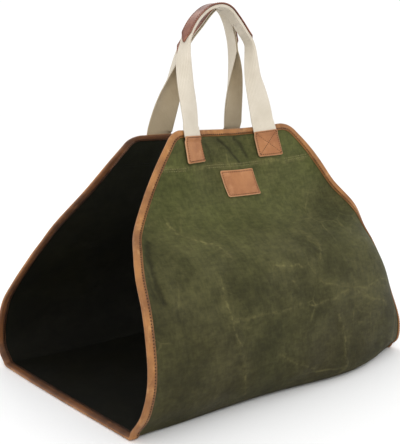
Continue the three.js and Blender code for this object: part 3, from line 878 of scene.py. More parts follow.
@dataclass(frozen=True)
class WaxedCanvasFinish:
    """Olive cotton canvas with a wax dressing, which pales where it has been creased."""

    name: str = "waxed_canvas"
    base: Colour = (74, 72, 43)
    deep: Colour = (57, 56, 31)
    brown: Colour = (53, 48, 28)
    green: Colour = (75, 79, 41)
    pulled: Colour = (122, 116, 74)
    # shade darkens the whole finish; below 1 it is painted shade, as on the cloth's inner face
    shade: float = 1.0
    marked: bool = True
    creases: tuple[Crease, ...] = ()
    thread_pitch: float = 0.0011
    wander: float = 0.022

    def _spans(self, pale: bool) -> list[tuple[Crease, Array, Array]]:
        """Straight parts of the pale creases or of the creases with painted shade, between flat places in
        metres.
        """
        spans = []
        for crease in self.creases:
            if (crease.mark >= 0) is not pale:
                continue
            for ends in crease.segments():
                metres = [np.array([x, crease.side.value * (FORM.half_length - y)]) * MM for x, y in ends]
                spans.append((crease, *metres))
        return spans

    def _bend(self, g: Graph) -> Socket:
        """Flat coordinates with a wander, so that no line on the cloth is quite straight."""
        wobble = g.tree.nodes.new("ShaderNodeTexNoise")
        g.feed(wobble.inputs["Vector"], g.flat)
        g.feed(wobble.inputs["Scale"], 26.0)
        g.feed(wobble.inputs["Detail"], 5.0)
        shift = g.vector("SUBTRACT", wobble.outputs["Color"], (0.5, 0.5, 0.5)).outputs[0]
        wander = g.vector("MULTIPLY", shift, (self.wander, self.wander, 0.0)).outputs[0]
        return g.vector("ADD", g.flat, wander).outputs[0]

    def _threads(self, g: Graph, scale: float, detail: float, rough: float, stretch: float) -> Socket:
        """Noise drawn out along the warp plus noise drawn out along the weft."""
        warp = g.noise(scale, detail, rough, g.scaled(1, stretch))
        return g.plus(warp, g.noise(scale, detail, rough, g.scaled(stretch, 1)))

    def _marks(self, g: Graph, bent: Socket) -> Socket:
        """Strength of the pale marks: creases, the facing's edge, random veins and scuffs."""
        break_up = g.spread(g.noise(120, 5, 0.75), 0.38, 0.62, 0.1, 1.0)
        marks = g.times(g.spread(g.noise(38, 5, 0.7, g.scaled(0.5, 1)), 0.55, 0.8), 0.3)
        for scale, sparse_scale, amount in ((7, 6, 0.55), (19, 11, 0.4)):
            vein = g.spread(g.cells(scale, "DISTANCE_TO_EDGE", bent), 0.02, 0.0)
            sparse = g.spread(g.noise(sparse_scale, 2, 0.5, g.scaled(1, 0.6)), 0.52, 0.68)
            marks = g.plus(marks, g.times(g.times(vein, sparse), amount))
        lines: object = 0.0
        for crease, start, end in self._spans(pale=True):
            fine = g.near_line(bent, start, end, crease.width * MM)
            wide = g.near_line(bent, start, end, crease.width * 4.0 * MM)
            near = g.plus(g.times(fine, crease.mark * 0.55), g.times(wide, crease.mark * 0.3))
            lines = g.math("MAXIMUM", lines, near)
        facing = (FORM.half_length - FORM.facing_drop) * MM
        level = g.math("ABSOLUTE", g.math("SUBTRACT", g.math("ABSOLUTE", g.axes(bent)[1]), facing))
        lines = g.math("MAXIMUM", lines, g.times(g.spread(level, 0.006, 0.0005), 0.6))
        return g.plus(marks, g.times(lines, break_up))

    def _painted_crease_shade(self, g: Graph, bent: Socket) -> Socket:
        """Strength of the painted shade in the dark hollows of deep creases."""
        hollows: object = 0.0
        for crease, start, end in self._spans(pale=False):
            near = g.near_line(bent, start, end, crease.width * 2.6 * MM)
            hollows = g.math("MAXIMUM", hollows, g.times(near, -crease.mark))
        return hollows

    def material(self) -> Material:
        """Build the finish."""
        g = Graph(self.name)
        across, along = g.axes()
        patchy = g.spread(g.noise(9, 5, 0.6), 0.36, 0.66)
        tone = g.blend(patchy, g.colour(*self.deep), g.colour(*self.base))
        from_keel = g.math("ABSOLUTE", along)
        low = g.times(g.spread(from_keel, 0.4, 0.18), g.spread(g.noise(5, 3, 0.5), 0.3, 0.6))
        tone = g.blend(g.times(low, 0.65), tone, g.colour(*self.brown))
        high = g.times(g.spread(from_keel, 0.3, 0.5), g.spread(g.noise(6, 3, 0.5), 0.7, 0.35))
        tone = g.blend(g.times(high, 0.75), tone, g.colour(*self.green))
        bent = self._bend(g)
        marks = self._marks(g, bent) if self.marked else g.times(patchy, 0.1)
        rubbed = g.math("MINIMUM", g.times(marks, 0.6), 0.85)
        tone = g.blend(rubbed, tone, g.colour(*self.pulled))
        weave = g.times(g.wave(across, self.thread_pitch), g.wave(along, self.thread_pitch))
        slub = self._threads(g, 520, 2, 0.6, 0.08)
        fleck = g.plus(g.times(weave, 0.3), g.times(slub, 0.35))
        grain = g.blend(1.0, tone, (1.6, 1.55, 1.45, 1), "MULTIPLY")
        tone = g.blend(g.spread(fleck, 0.25, 0.7, 0.0, 0.45), tone, grain)
        cloud = g.spread(g.noise(24, 6, 0.7), 0.3, 0.72, 0.74, 1.22)
        tone = g.shaded(tone, cloud)
        # Painted shade: the cloth darkens towards the keel, low on the bag.
        tone = g.shaded(tone, g.spread(from_keel, 0.15, 0.4, 0.79, 1.05))
        streaks = self._threads(g, 210, 3, 0.65, 0.4)
        tone = g.shaded(tone, g.spread(streaks, 0.72, 1.28, 0.82, 1.2))
        if self.creases:
            # Painted shade: darken the cloth along the creases with a mark below zero.
            tone = g.shaded(tone, g.math("SUBTRACT", 1.0, g.times(self._painted_crease_shade(g, bent), 0.62)))
        # Painted shade: darken the whole finish by the shade factor.
        if self.shade != 1.0:
            tone = g.blend(1.0, tone, (self.shade, self.shade, self.shade, 1), "MULTIPLY")
        crumple = g.times(g.noise(55, 4, 0.55, bent), 2.6)
        cloth = g.plus(weave, g.times(slub, 0.5))
        raised = g.times(marks, 1.6)
        g.bump(g.plus(g.plus(cloth, crumple), raised), 0.0003, 0.9)
        rough = g.spread(patchy, 0, 1, 0.74, 0.6)
        return g.finish(tone, rough, Specular_IOR_Level=0.14)


@dataclass(frozen=True)
class LeatherFinish:
    """Vegetable-tanned leather with fine grain, darker pores and handled patches."""

    name: str
    base: Colour
    dark: Colour
    light: Colour
    rough: float = 0.5
    grain: float = 420.0
    edge: Colour | None = None

    def material(self) -> Material:
        """Build the finish."""
        g = Graph(self.name)
        cloud = g.spread(g.noise(26, 5, 0.6), 0.32, 0.7)
        tone = g.blend(cloud, g.colour(*self.dark), g.colour(*self.base))
        worn = g.spread(g.noise(70, 4, 0.65), 0.52, 0.78)
        tone = g.blend(g.times(worn, 0.55), tone, g.colour(*self.light))
        if self.edge:
            rim = g.tree.nodes.new("ShaderNodeAttribute")
            rim.attribute_name = "edge"
            tone = g.blend(g.times(rim.outputs["Fac"], 0.7), tone, g.colour(*self.edge))
        pores = g.cells(self.grain)
        wrinkle = g.cells(self.grain * 0.42, "DISTANCE_TO_EDGE")
        pit = g.spread(pores, 0.45, 0.05)
        tone = g.blend(g.times(pit, 0.3), tone, g.colour(*self.dark))
        creased = g.spread(wrinkle, 0.0, 0.25)
        fine = g.times(g.noise(self.grain * 1.6, 3, 0.6), 0.5)
        g.bump(g.plus(creased, fine), 0.00012, 0.7)
        rough = g.spread(cloud, 0, 1, self.rough + 0.06, self.rough - 0.05)
        return g.finish(tone, rough, Specular_IOR_Level=0.4)


@dataclass(frozen=True)
class WebbingFinish:
    """Natural cotton webbing with weft ribs across it and warp cords along it."""

    name: str = "cotton_webbing"
    base: Colour = (214, 205, 189)
    shade: Colour = (172, 160, 138)
    rib_pitch: float = 0.0017
    cord_pitch: float = 0.0021

    def material(self) -> Material:
        """Build the finish."""
        g = Graph(self.name)
        across, along = g.axes()
        shift = g.times(g.math("FLOOR", g.math("DIVIDE", across, self.cord_pitch)), 0.5)
        ribs = g.wave(g.plus(g.math("DIVIDE", along, self.rib_pitch), shift))
        cords = g.wave(across, self.cord_pitch)
        weave = g.plus(g.times(ribs, 0.6), g.times(cords, 0.4))
        fuzz = g.noise(900, 3, 0.6)
        cloud = g.spread(g.noise(30, 3, 0.5), 0.35, 0.7)
        lit = g.spread(g.plus(weave, g.times(fuzz, 0.3)), 0.25, 0.85)
        tone = g.blend(lit, g.colour(*self.shade), g.colour(*self.base))
        tone = g.blend(g.times(cloud, 0.25), tone, g.colour(*self.shade))
        g.bump(g.plus(weave, g.times(fuzz, 0.4)), 0.0003, 0.8)
        return g.finish(tone, 0.9, Specular_IOR_Level=0.2, Sheen_Weight=0.15, Sheen_Roughness=0.6)


@dataclass(frozen=True)
class ThreadFinish:
    """Waxed sewing thread."""

    name: str
    base: Colour

    def material(self) -> Material:
        """Build the finish."""
        g = Graph(self.name)
        twist = g.noise(1400, 2, 0.5, g.object_place())
        dark = tuple(int(c * 0.6) for c in self.base)
        tone = g.blend(g.spread(twist, 0.35, 0.65), g.colour(*dark), g.colour(*self.base))
        g.bump(twist, 0.0001, 0.6)
        return g.finish(tone, 0.6, Specular_IOR_Level=0.3)


@dataclass(frozen=True)
class PaperFloorFinish:
    """Plain pale studio paper."""

    name: str = "studio_paper"
    base: Colour = (252, 252, 252)

    def material(self) -> Material:
        """Build the finish."""
        g = Graph(self.name)
        fibre = g.noise(300, 2, 0.5, g.object_place())
        tone = g.blend(fibre, g.colour(*self.base), g.colour(*(c - 3 for c in self.base)))
        return g.finish(tone, 0.9, Specular_IOR_Level=0.1)


@dataclass(frozen=True)
class Outline:
    """Outline of the flat sheet, with rounded corners at the rims."""

    corner_steps: int = 10
    side_steps: int = 150
    rim_steps: int = 56

    def side(self) -> tuple[Array, Array, Array, Array]:
        """Stations of the right side from the front rim to the back rim.

        Returns:
            Across, along, and the direction out of the sheet, across and along.
        """
        form = FORM
        slant = math.hypot(1, form.slope)
        centre = form.rim_width / 2 + form.slope * form.corner - slant * form.corner
        angles = np.linspace(math.pi / 2, math.atan(form.slope), self.corner_steps + 1)
        corner_drop = form.corner * (1 - np.sin(angles))
        corner_across = centre + form.corner * np.cos(angles)
        drops = np.linspace(corner_drop[-1], form.half_length, self.side_steps + 1)[1:]
        widening = (form.half_width(drops + 1) - form.half_width(drops - 1)) / 2
        length = np.hypot(1, widening)
        drop = np.concatenate([corner_drop, drops])
        across = np.concatenate([corner_across, form.half_width(drops)])
        out_across = np.concatenate([np.cos(angles), 1 / length])
        out_up = np.concatenate([np.sin(angles), widening / length])
        back = slice(-2, None, -1)
        return (
            np.concatenate([across, across[back]]),
            np.concatenate([form.along(Side.FRONT, drop), form.along(Side.BACK, drop)[back]]),
            np.concatenate([out_across, out_across[back]]),
            np.concatenate([-out_up, out_up[back]]),
        )

    def loop(self) -> tuple[Array, Array, Array, Array]:
        """Stations all round: up the right side, the back rim, down the left side, the front rim."""
        across, along, out_across, out_along = self.side()
        reach = across[0]
        rim = np.linspace(-reach, reach, self.rim_steps + 1)[1:-1]
        flat, zero = np.full_like(rim, FORM.half_length), np.zeros_like(rim)
        return (
            np.concatenate([across, rim[::-1], -across[::-1], rim]),
            np.concatenate([along, flat, along[::-1], -flat]),
            np.concatenate([out_across, zero, -out_across[::-1], zero]),
            np.concatenate([out_along, zero + 1, out_along[::-1], zero - 1]),
        )


@dataclass(frozen=True)
class CanvasSheet:
    """The waxed canvas, from the front rim round the sole to the back rim."""

    columns: int = 117
    inset: float = 0.6

    def _grid(self) -> tuple[Array, Array]:
        """Flat places of the sheet, row by row from the front rim to the back rim."""
        across, along, out_across, out_along = Outline(corner_steps=8, side_steps=130).side()
        half = (across - out_across * self.inset)[:, None]
        shares = np.linspace(-1, 1, self.columns)[None]
        rows = np.repeat((along - out_along * self.inset)[:, None], self.columns, axis=1)
        return half * shares, rows

    def build(self) -> Piece:
        """Make the sheet with its outer and inner faces.

        Returns:
            The sheet.
        """
        across, along = self._grid()
        points = np.stack([FORM.place(across, along, level) for level in (FORM.skin, -FORM.skin)])
        outside = WaxedCanvasFinish(creases=CREASES).material()
        # The inner face gets painted shade, darkened to a tenth, for the shaded inside of the bag.
        inside = WaxedCanvasFinish(name="waxed_canvas_inside_painted_shade", shade=0.1, marked=False).material()
        flat = flat_places(across, along)
        piece = sheet_object("waxed_canvas_sheet", points, flat, outside, inside)
        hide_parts("canvas_sheet")
        return piece


@dataclass(frozen=True)
class EdgeBinding:
    """Leather edging folded over the whole outline, with a row of stitches on both faces."""

    stitch_inset: float = 2.6
    round_steps: int = 7

    def _profile(self) -> Array:
        """Section of the edging: distance out of the outline and height over the cloth's middle."""
        form = FORM
        low, high = form.binding_inner, form.binding_outer
        nose = form.clearance + form.binding_thickness
        turn = np.linspace(math.pi / 2, -math.pi / 2, self.round_steps + 2)
        bend = [(nose - high + high * math.cos(a), high * math.sin(a)) for a in turn]
        legs = [(-8.0, high), (-4.0, high + 0.05)]
        back = [(-4.0, -high - 0.05), (-8.0, -high)]
        edge = -form.binding_depth
        start = [(edge, high - 0.55), (edge + 0.35, high - 0.1), (edge + 1.2, high)]
        end = [(edge + 1.2, -high), (edge + 0.35, -high + 0.1), (edge, -high + 0.55)]
        inside = [(edge, -low), (form.clearance, -low), (form.clearance, low), (edge, low)]
        return np.array(start + legs + bend + back + end + inside)

    def build(self) -> list[Piece]:
        """Make the edging and its stitches.

        Returns:
            The edging and the thread.
        """
        across, along, out_across, out_along = Outline().loop()
        profile = self._profile()
        out, height = profile[:, 0][None], profile[:, 1][None]
        at_across = across[:, None] + out * out_across[:, None]
        at_along = along[:, None] + out * out_along[:, None]
        points = FORM.place(at_across, at_along, np.broadcast_to(height, at_across.shape))
        rows, columns = at_across.shape
        closed = np.concatenate([points, points[:1]]).reshape(-1, 3)
        faces = facing_out(closed, grid_faces(rows + 1, columns, ring=True))
        faces = faces % (rows * columns)
        steps = np.hypot(np.diff(across, append=across[0]), np.diff(along, append=along[0]))
        run = np.concatenate([[0], np.cumsum(steps)[:-1]])
        flat = flat_places(distances(profile)[None], run[:, None])
        leather = LeatherFinish("edging_leather", (164, 111, 58), (124, 79, 40), (206, 157, 100), 0.46)
        # The binding's underside gets a darker leather as painted shade, for its shaded inner face.
        inside = LeatherFinish("edging_leather_painted_shade", (118, 74, 42), (78, 48, 28), (140, 92, 58), 0.55)
        name = "edge_binding_leather"
        piece = make_object(name, points.reshape(-1, 3), faces, leather.material(), flat)
        piece.data.materials.append(inside.material())
        under = np.flatnonzero(profile[:, 1] < -FORM.skin)
        slots = np.isin(faces % columns, under).all(axis=1).astype(np.int32)
        piece.data.polygons.foreach_set("material_index", slots)
        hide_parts("edge_binding")
        runs = []
        for face in (1, -1):
            line = FORM.binding_depth - self.stitch_inset
            run_points, outward = surface_run(
                across - out_across * line, along - out_along * line, face * FORM.binding_outer
            )
            stitches, sides = EDGE_STITCHES.geometry(run_points, outward * face, closed=True)
            stitches[:, 2] = np.maximum(stitches[:, 2], 0)
            runs.append((stitches, sides))
        thread = ThreadFinish("edging_thread", (70, 42, 26)).material()
        return [piece, stitch_object("edge_binding_stitches", runs, thread)]


def patch_drops(top: float, height: float, corner: float, steps: int) -> Array:
    """Rows of a patch from its top to its bottom, closer together round its corners."""
    turn = corner * (1 - np.cos(np.linspace(0, math.pi / 2, 5)))
    middle = np.linspace(top + corner, top + height - corner, steps)[1:-1]
    return np.concatenate([top + turn, middle, top + height - turn[::-1]])


@dataclass(frozen=True)
class LeatherPatch:
    """A leather patch with rounded corners and eased edges, sewn on the sheet."""

    name: str
    node: str
    side: Side
    centre: float
    width: float
    top: float
    height: float
    thickness: float
    corner: float
    plan: StitchPlan
    edge: LeatherEdge = LeatherEdge(0.8, 0.55, 2.4, 0.12, 0.55)
    columns: int = 26
    rows: int = 24

    def seat(self, across: Array, drop: Array) -> Array:
        """Height of the patch's underside over the middle of the cloth."""
        return np.full_like(np.asarray(drop, float), FORM.skin + FORM.seat_gap)

    def from_edge(self, across: Array, drop: Array) -> Array:
        """Distance of flat places in from the patch's nearest edge."""
        sideways = self.width / 2 - np.abs(across - self.centre)
        return np.minimum(sideways, np.minimum(drop - self.top, self.top + self.height - drop))

    def _flat(self) -> tuple[Array, Array]:
        """Flat places of the patch, row by row."""
        drops = patch_drops(self.top, self.height, self.corner, self.rows)
        to_end = np.minimum(np.minimum(drops - self.top, self.top + self.height - drops), self.corner)
        inset = self.corner - np.sqrt(np.maximum(self.corner**2 - (self.corner - to_end) ** 2, 0))
        edge = (1 - np.cos(np.linspace(0, math.pi / 2, 4))) * 0.05
        inner = np.linspace(-0.94, 0.94, self.columns)[1:-1]
        shares = np.concatenate([-1 + edge, inner, 1 - edge[::-1]])
        across = self.centre + (self.width / 2 - inset)[:, None] * shares[None]
        return across, np.repeat(drops[:, None], across.shape[1], axis=1)

    def points(self, low: Array | float, thickness: float, form: SheetForm = FORM) -> Array:
        """Points of the patch's upper and lower faces, a grid each."""
        across, drop = self._flat()
        along = form.along(self.side, drop)
        lower = form.place(across, along, low)
        rise = self.edge.share(self.from_edge(across, drop))
        upper = form.place(across, along, low + rise * thickness)
        return np.stack([upper, lower])

    def _stitch_lines(self) -> list[tuple[Array, Array]]:
        """Flat places of the stitch lines, each as across and drop."""
        inset = self.edge.seam
        x = self.width / 2 - inset
        y0, y1 = self.top + inset, self.top + self.height - inset
        share = np.linspace(0, 1, 24)
        corners = [(-x, y0), (x, y0), (x, y1), (-x, y1), (-x, y0)]
        lines = list(zip(corners[:-1], corners[1:]))
        if self.plan is StitchPlan.BOXED_CROSS:
            lines += [((-x, y0), (x, y1)), ((x, y0), (-x, y1))]
        places = [np.array(a) + np.subtract(b, a) * share[:, None] for a, b in lines]
        return [(self.centre + place[:, 0], place[:, 1]) for place in places]

    def build(self, leather: Material, thread: Material) -> list[Piece]:
        """Make the patch and its stitches.

        Args:
            leather: Finish of the patch.
            thread: Finish of its stitches.

        Returns:
            The patch and the thread.
        """
        across, drop = self._flat()
        points = self.points(self.seat(across, drop), self.thickness)
        flat = flat_places(across + self.side.value * 100, drop + self.centre)
        piece = sheet_object(self.name, points, flat, leather)
        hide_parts(self.node)
        rim = piece.data.attributes.new("edge", "FLOAT", "POINT")
        near = 1 - smooth_step(self.from_edge(across, drop).ravel(), 0.1, 0.9)
        rim.data.foreach_set("value", np.concatenate([near, np.ones_like(near)]).astype(np.float32))
        runs = []
        for line_across, line_drop in self._stitch_lines():
            over = self.seat(line_across, line_drop) + self.thickness * 0.88
            path, outward = surface_run(line_across, FORM.along(self.side, line_drop), over)
            runs.append(PATCH_STITCHES.geometry(path, outward))
        return [piece, stitch_object(f"{self.name}_stitches", runs, thread)]


@dataclass(frozen=True)
class LabelPatch(LeatherPatch):
    """The plain leather patch in the middle of the front panel."""

    name: str = "label_patch_leather"
    node: str = "label_patch"
    side: Side = Side.FRONT
    centre: float = 0.0
    width: float = 57.0
    top: float = 59.0
    height: float = 36.0
    thickness: float = 1.4
    corner: float = 2.5
    plan: StitchPlan = StitchPlan.BORDER


@dataclass(frozen=True)
class HandleSizes:
    """Sizes of one handle: where it is sewn on, and its arch over the grip."""

    word: str
    side: Side
    foot_shift: float
    grip_shift: float
    grip_span: float
    grip_reach: float
    grip_height: float
    rise: float
    arch: tuple[tuple[float, float], ...]
    webbing_width: float = 38.0
    webbing_thickness: float = 1.8
    bend_radius: float = 1.4
    strap_spacing: float = 137.0
    tab_width: float = 39.0
    tab_height: float = 38.0
    tab_thickness: float = 1.5
    tab_overlap: float = 1.0
    tab_cover: float = 2.0
    rim_overrun: float = 4.0
    fold_growth: float = 1.15

    @property
    def tab_top(self) -> float:
        """Distance of a tab's top edge down from the rim."""
        return FORM.binding_depth - self.tab_overlap

    @property
    def crease(self) -> float:
        """Half width of the webbing that the crease of the fold takes."""
        return self.bend_radius * math.pi / 2

    def foot(self, end: End) -> float:
        """Place across the sheet where an end of the handle is sewn on."""
        return self.foot_shift + end.value * self.strap_spacing / 2

    def webbing_seat(self, drop: Array) -> Array:
        """Height of the webbing's inner face on the sheet: over the edging, then down on the cloth."""
        start = self.tab_top + 2.5 + 0.04 * self.tab_height
        down = smooth_step(np.asarray(drop, float), start, start + 0.12 * self.tab_height)
        return FORM.binding_outer + (FORM.skin - FORM.binding_outer) * down + FORM.seat_gap


@dataclass(frozen=True)
class StrapTab(LeatherPatch):
    """A leather tab that holds one end of the webbing."""

    handle: HandleSizes | None = None
    pressed: float = 0.9
    press_width: float = 2.4

    def seat(self, across: Array, drop: Array) -> Array:
        """Height of the tab's underside, over the webbing and pressed down beside it."""
        assert self.handle
        over = self.handle.webbing_seat(drop) + self.handle.webbing_thickness + FORM.clearance
        sideways = self.width / 2 - np.abs(across - self.centre)
        to_edge = np.minimum(sideways, self.top + self.height - drop)
        down = 1 - smooth_step(to_edge, 0.2, self.press_width)
        return over - self.pressed * down


FRONT_ARCH = (
    (-1.03, -0.1), (-0.93, 0.22), (-0.7, 0.6), (-0.35, 0.91), (0.0, 1.0), (0.24, 0.93), (0.48, 0.69),
    (0.78, 0.3), (1.03, -0.08),
)
BACK_ARCH = (
    (-1.1, -0.14), (-0.8, 0.2), (-0.42, 0.51), (-0.02, 0.84), (0.22, 0.965), (0.5, 0.95),
    (0.74, 0.72), (0.93, 0.31), (1.0, 0.0),
)
FRONT = HandleSizes("front", Side.FRONT, -4.0, -1.5, 56.0, 22.5, 457.0, 45.0, FRONT_ARCH)
BACK = HandleSizes("back", Side.BACK, 3.0, 1.0, 46.0, 20.5, 446.0, 58.0, BACK_ARCH)


def centripetal_curve(points: Array, per_span: int) -> tuple[Array, Array]:
    """Follow a centripetal Catmull-Rom curve through points.

    Args:
        points: Points that the curve passes.
        per_span: Samples for each span.

    Returns:
        Samples along the curve and the sample index of each given point.
    """
    padded = np.concatenate([[2 * points[0] - points[1]], points, [2 * points[-1] - points[-2]]])
    samples = []
    for index in range(1, len(padded) - 2):
        p0, p1, p2, p3 = padded[index - 1 : index + 3]
        d0, d1, d2 = (np.linalg.norm(b - a) ** 0.5 for a, b in ((p0, p1), (p1, p2), (p2, p3)))
        leave = ((p1 - p0) / d0 - (p2 - p0) / (d0 + d1) + (p2 - p1) / d1) * d1
        reach = ((p2 - p1) / d1 - (p3 - p1) / (d1 + d2) + (p3 - p2) / d2) * d1
        t = np.linspace(0, 1, per_span, endpoint=False)[:, None]
        square = -3 * p1 + 3 * p2 - 2 * leave - reach
        cube = 2 * p1 - 2 * p2 + leave + reach
        samples.append(p1 + leave * t + square * t**2 + cube * t**3)
    samples.append(points[-1:])
    return np.concatenate(samples), np.arange(len(points)) * per_span


@dataclass(frozen=True)
class HandlePath:
    """Crease line of a handle with a frame at each station."""

    centre: Array
    outward: Array
    aside: Array
    fold: Array
    in_grip: Array
    run: Array

    @staticmethod
    def trace(sizes: HandleSizes, leg_steps: int, arch_steps: int) -> "HandlePath":
        """Lay the crease line from the left rim over the grip to the right rim.

        Args:
            sizes: Sizes of the handle.
            leg_steps: Stations on each leg.
            arch_steps: Stations on the arch.

        Returns:
            The path and its frames.
        """
        side = sizes.side.value
        over = float(sizes.webbing_seat(0.0)) + sizes.webbing_thickness / 2
        out = FORM.along(sizes.side, -FORM.binding_depth)
        feet = [sizes.foot(End.LEFT), sizes.foot(End.RIGHT)]
        exits = [FORM.place(foot, out, over) for foot in feet]
        facings = [unit(leave - FORM.place(foot, out, 0.0)) for leave, foot in zip(exits, feet)]

        def on_arch(across: float, up: float) -> Array:
            """A point of the arch, from shares of its span and rise."""
            right = sizes.grip_shift + across * sizes.grip_span
            return np.array([right, side * sizes.grip_reach, sizes.grip_height + up * sizes.rise])

        grip = [on_arch(*share) for share in sizes.arch]
        points = [exits[0], (exits[0] + grip[0]) / 2, *grip, (exits[1] + grip[-1]) / 2, exits[1]]
        samples, marks = centripetal_curve(np.array(points), 60)
        lengths = distances(samples)
        start, stop, total = lengths[marks[2]], lengths[marks[-3]], lengths[-1]
        run = np.concatenate([
            np.linspace(0, start, leg_steps, endpoint=False),
            np.linspace(start, stop, arch_steps, endpoint=False),
            np.linspace(stop, total, leg_steps + 1),
        ])
        centre = along_run(run, lengths, samples)
        ahead = along_run(np.minimum(run + 1, total), lengths, samples)
        tangent = unit(ahead - along_run(np.maximum(run - 1, 0), lengths, samples))
        leg = np.minimum(np.minimum(run / start, (total - run) / (total - stop)), 1)
        facing = np.where((run < total / 2)[:, None], facings[0], facings[1])
        facing = facing + (np.array([0, side, 0]) - facing) * leg[:, None]
        outward = unit(facing - tangent * np.sum(facing * tangent, axis=1, keepdims=True))
        aside = np.cross(outward, tangent) * side
        in_grip = np.minimum(run - start, stop - run)
        return HandlePath(centre, outward, aside, leg**sizes.fold_growth, in_grip, run)

    def grip_part(self) -> "HandlePath":
        """Keep only the stations of the grip."""
        keep = self.in_grip >= -1e-6
        rows = (self.centre, self.outward, self.aside, self.fold, self.in_grip, self.run)
        return HandlePath(*(row[keep] for row in rows))

    def beside(self, sideways: Array, up: Array) -> Array:
        """Points beside and over the stations, with a row of points for each station."""
        aside = self.aside[:, None] * sideways[..., None]
        return self.centre[:, None] + aside + self.outward[:, None] * up[..., None]


@dataclass(frozen=True)
class WebbingHandle:
    """Webbing loop, folded in half lengthwise along its grip."""

    sizes: HandleSizes
    leg_steps: int = 44
    arch_steps: int = 64
    tab_narrowing: float = 0.15

    def _columns(self) -> Array:
        """Half widths of the webbing's columns, from the crease to the selvedge."""
        sizes = self.sizes
        half = sizes.webbing_width / 2
        bend = np.linspace(0, sizes.crease, 5)
        flat = np.linspace(sizes.crease, half - 0.7, 9)[1:]
        return np.concatenate([bend, flat, [half - 0.2, half]])

    def _across(self) -> Array:
        """Places of the columns from one selvedge to the other."""
        widths = self._columns()
        return np.concatenate([-widths[:0:-1], widths])

    def _thinning(self) -> Array:
        """Share of the webbing's thickness at each column, rounded off at the selvedge."""
        return np.concatenate([np.ones(len(self._columns()) - 2), [0.82, 0.4]])

    def _rows(self, path: HandlePath, offset: float) -> Array:
        """Rows of the webbing's free part at an offset from its middle."""
        widths, thin = self._columns(), self._thinning()
        turn = np.maximum(path.fold * math.pi / 2, 1e-4)[:, None]
        half = self.sizes.webbing_width / 2
        curl = (half + (self.sizes.crease - half) * path.fold)[:, None]
        bent = np.minimum(widths[None], curl)
        angle = turn * bent / curl
        straight = widths[None] - bent
        beside = curl / turn * np.sin(angle) + straight * np.cos(turn)
        below = curl / turn * (1 - np.cos(angle)) + straight * np.sin(turn)
        level = offset * thin[None]

        def side_points(sign: int) -> Array:
            """Points of one half of every row."""
            sideways = sign * (beside + level * np.sin(angle))
            return path.beside(sideways, level * np.cos(angle) - below)

        return np.concatenate([side_points(-1)[:, :0:-1], side_points(1)], axis=1)

    def _seated(self, end: End, drops: Array, offset: float) -> Array:
        """Rows of the webbing where it lies on the sheet, from the rim down."""
        sizes, thin = self.sizes, self._thinning()
        level = np.concatenate([thin[:0:-1], thin]) * offset
        covered = smooth_step(drops, sizes.tab_top, sizes.tab_top + 5)[:, None]
        narrowed = 1 - self.tab_narrowing * covered
        across = sizes.foot(end) - end.value * self._across()[None] * narrowed
        along = FORM.along(sizes.side, drops)[:, None]
        seat = sizes.webbing_seat(drops) + sizes.webbing_thickness / 2
        return FORM.place(across, along, seat[:, None] + level[None])

    def build(self, cotton: Material, inside: Material) -> Piece:
        """Make the webbing.

        Args:
            cotton: Finish of the webbing.
            inside: Finish of its inner face, darker and warmer as painted shade.

        Returns:
            The webbing.
        """
        sizes = self.sizes
        path = HandlePath.trace(sizes, self.leg_steps, self.arch_steps)
        bottom = sizes.tab_top + sizes.tab_height - sizes.tab_cover
        over_rim = np.linspace(-sizes.rim_overrun, sizes.tab_top, 7)[:-1]
        drops = np.concatenate([over_rim, np.linspace(sizes.tab_top, bottom, 20)])

        def rows(offset: float) -> Array:
            """All rows at an offset from the webbing's middle."""
            left, right = (self._seated(end, drops, offset) for end in End)
            return np.concatenate([left[::-1], self._rows(path, offset), right])

        skin = sizes.webbing_thickness / 2
        points = np.stack([rows(skin), rows(-skin)])
        run = distances(points[0, :, points.shape[2] // 2])
        flat = flat_places(self._across()[None], run[:, None])
        name = f"{sizes.word}_handle_webbing"
        piece = sheet_object(name, points, flat, cotton, inside)
        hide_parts(f"{sizes.word}_handle")
        return piece


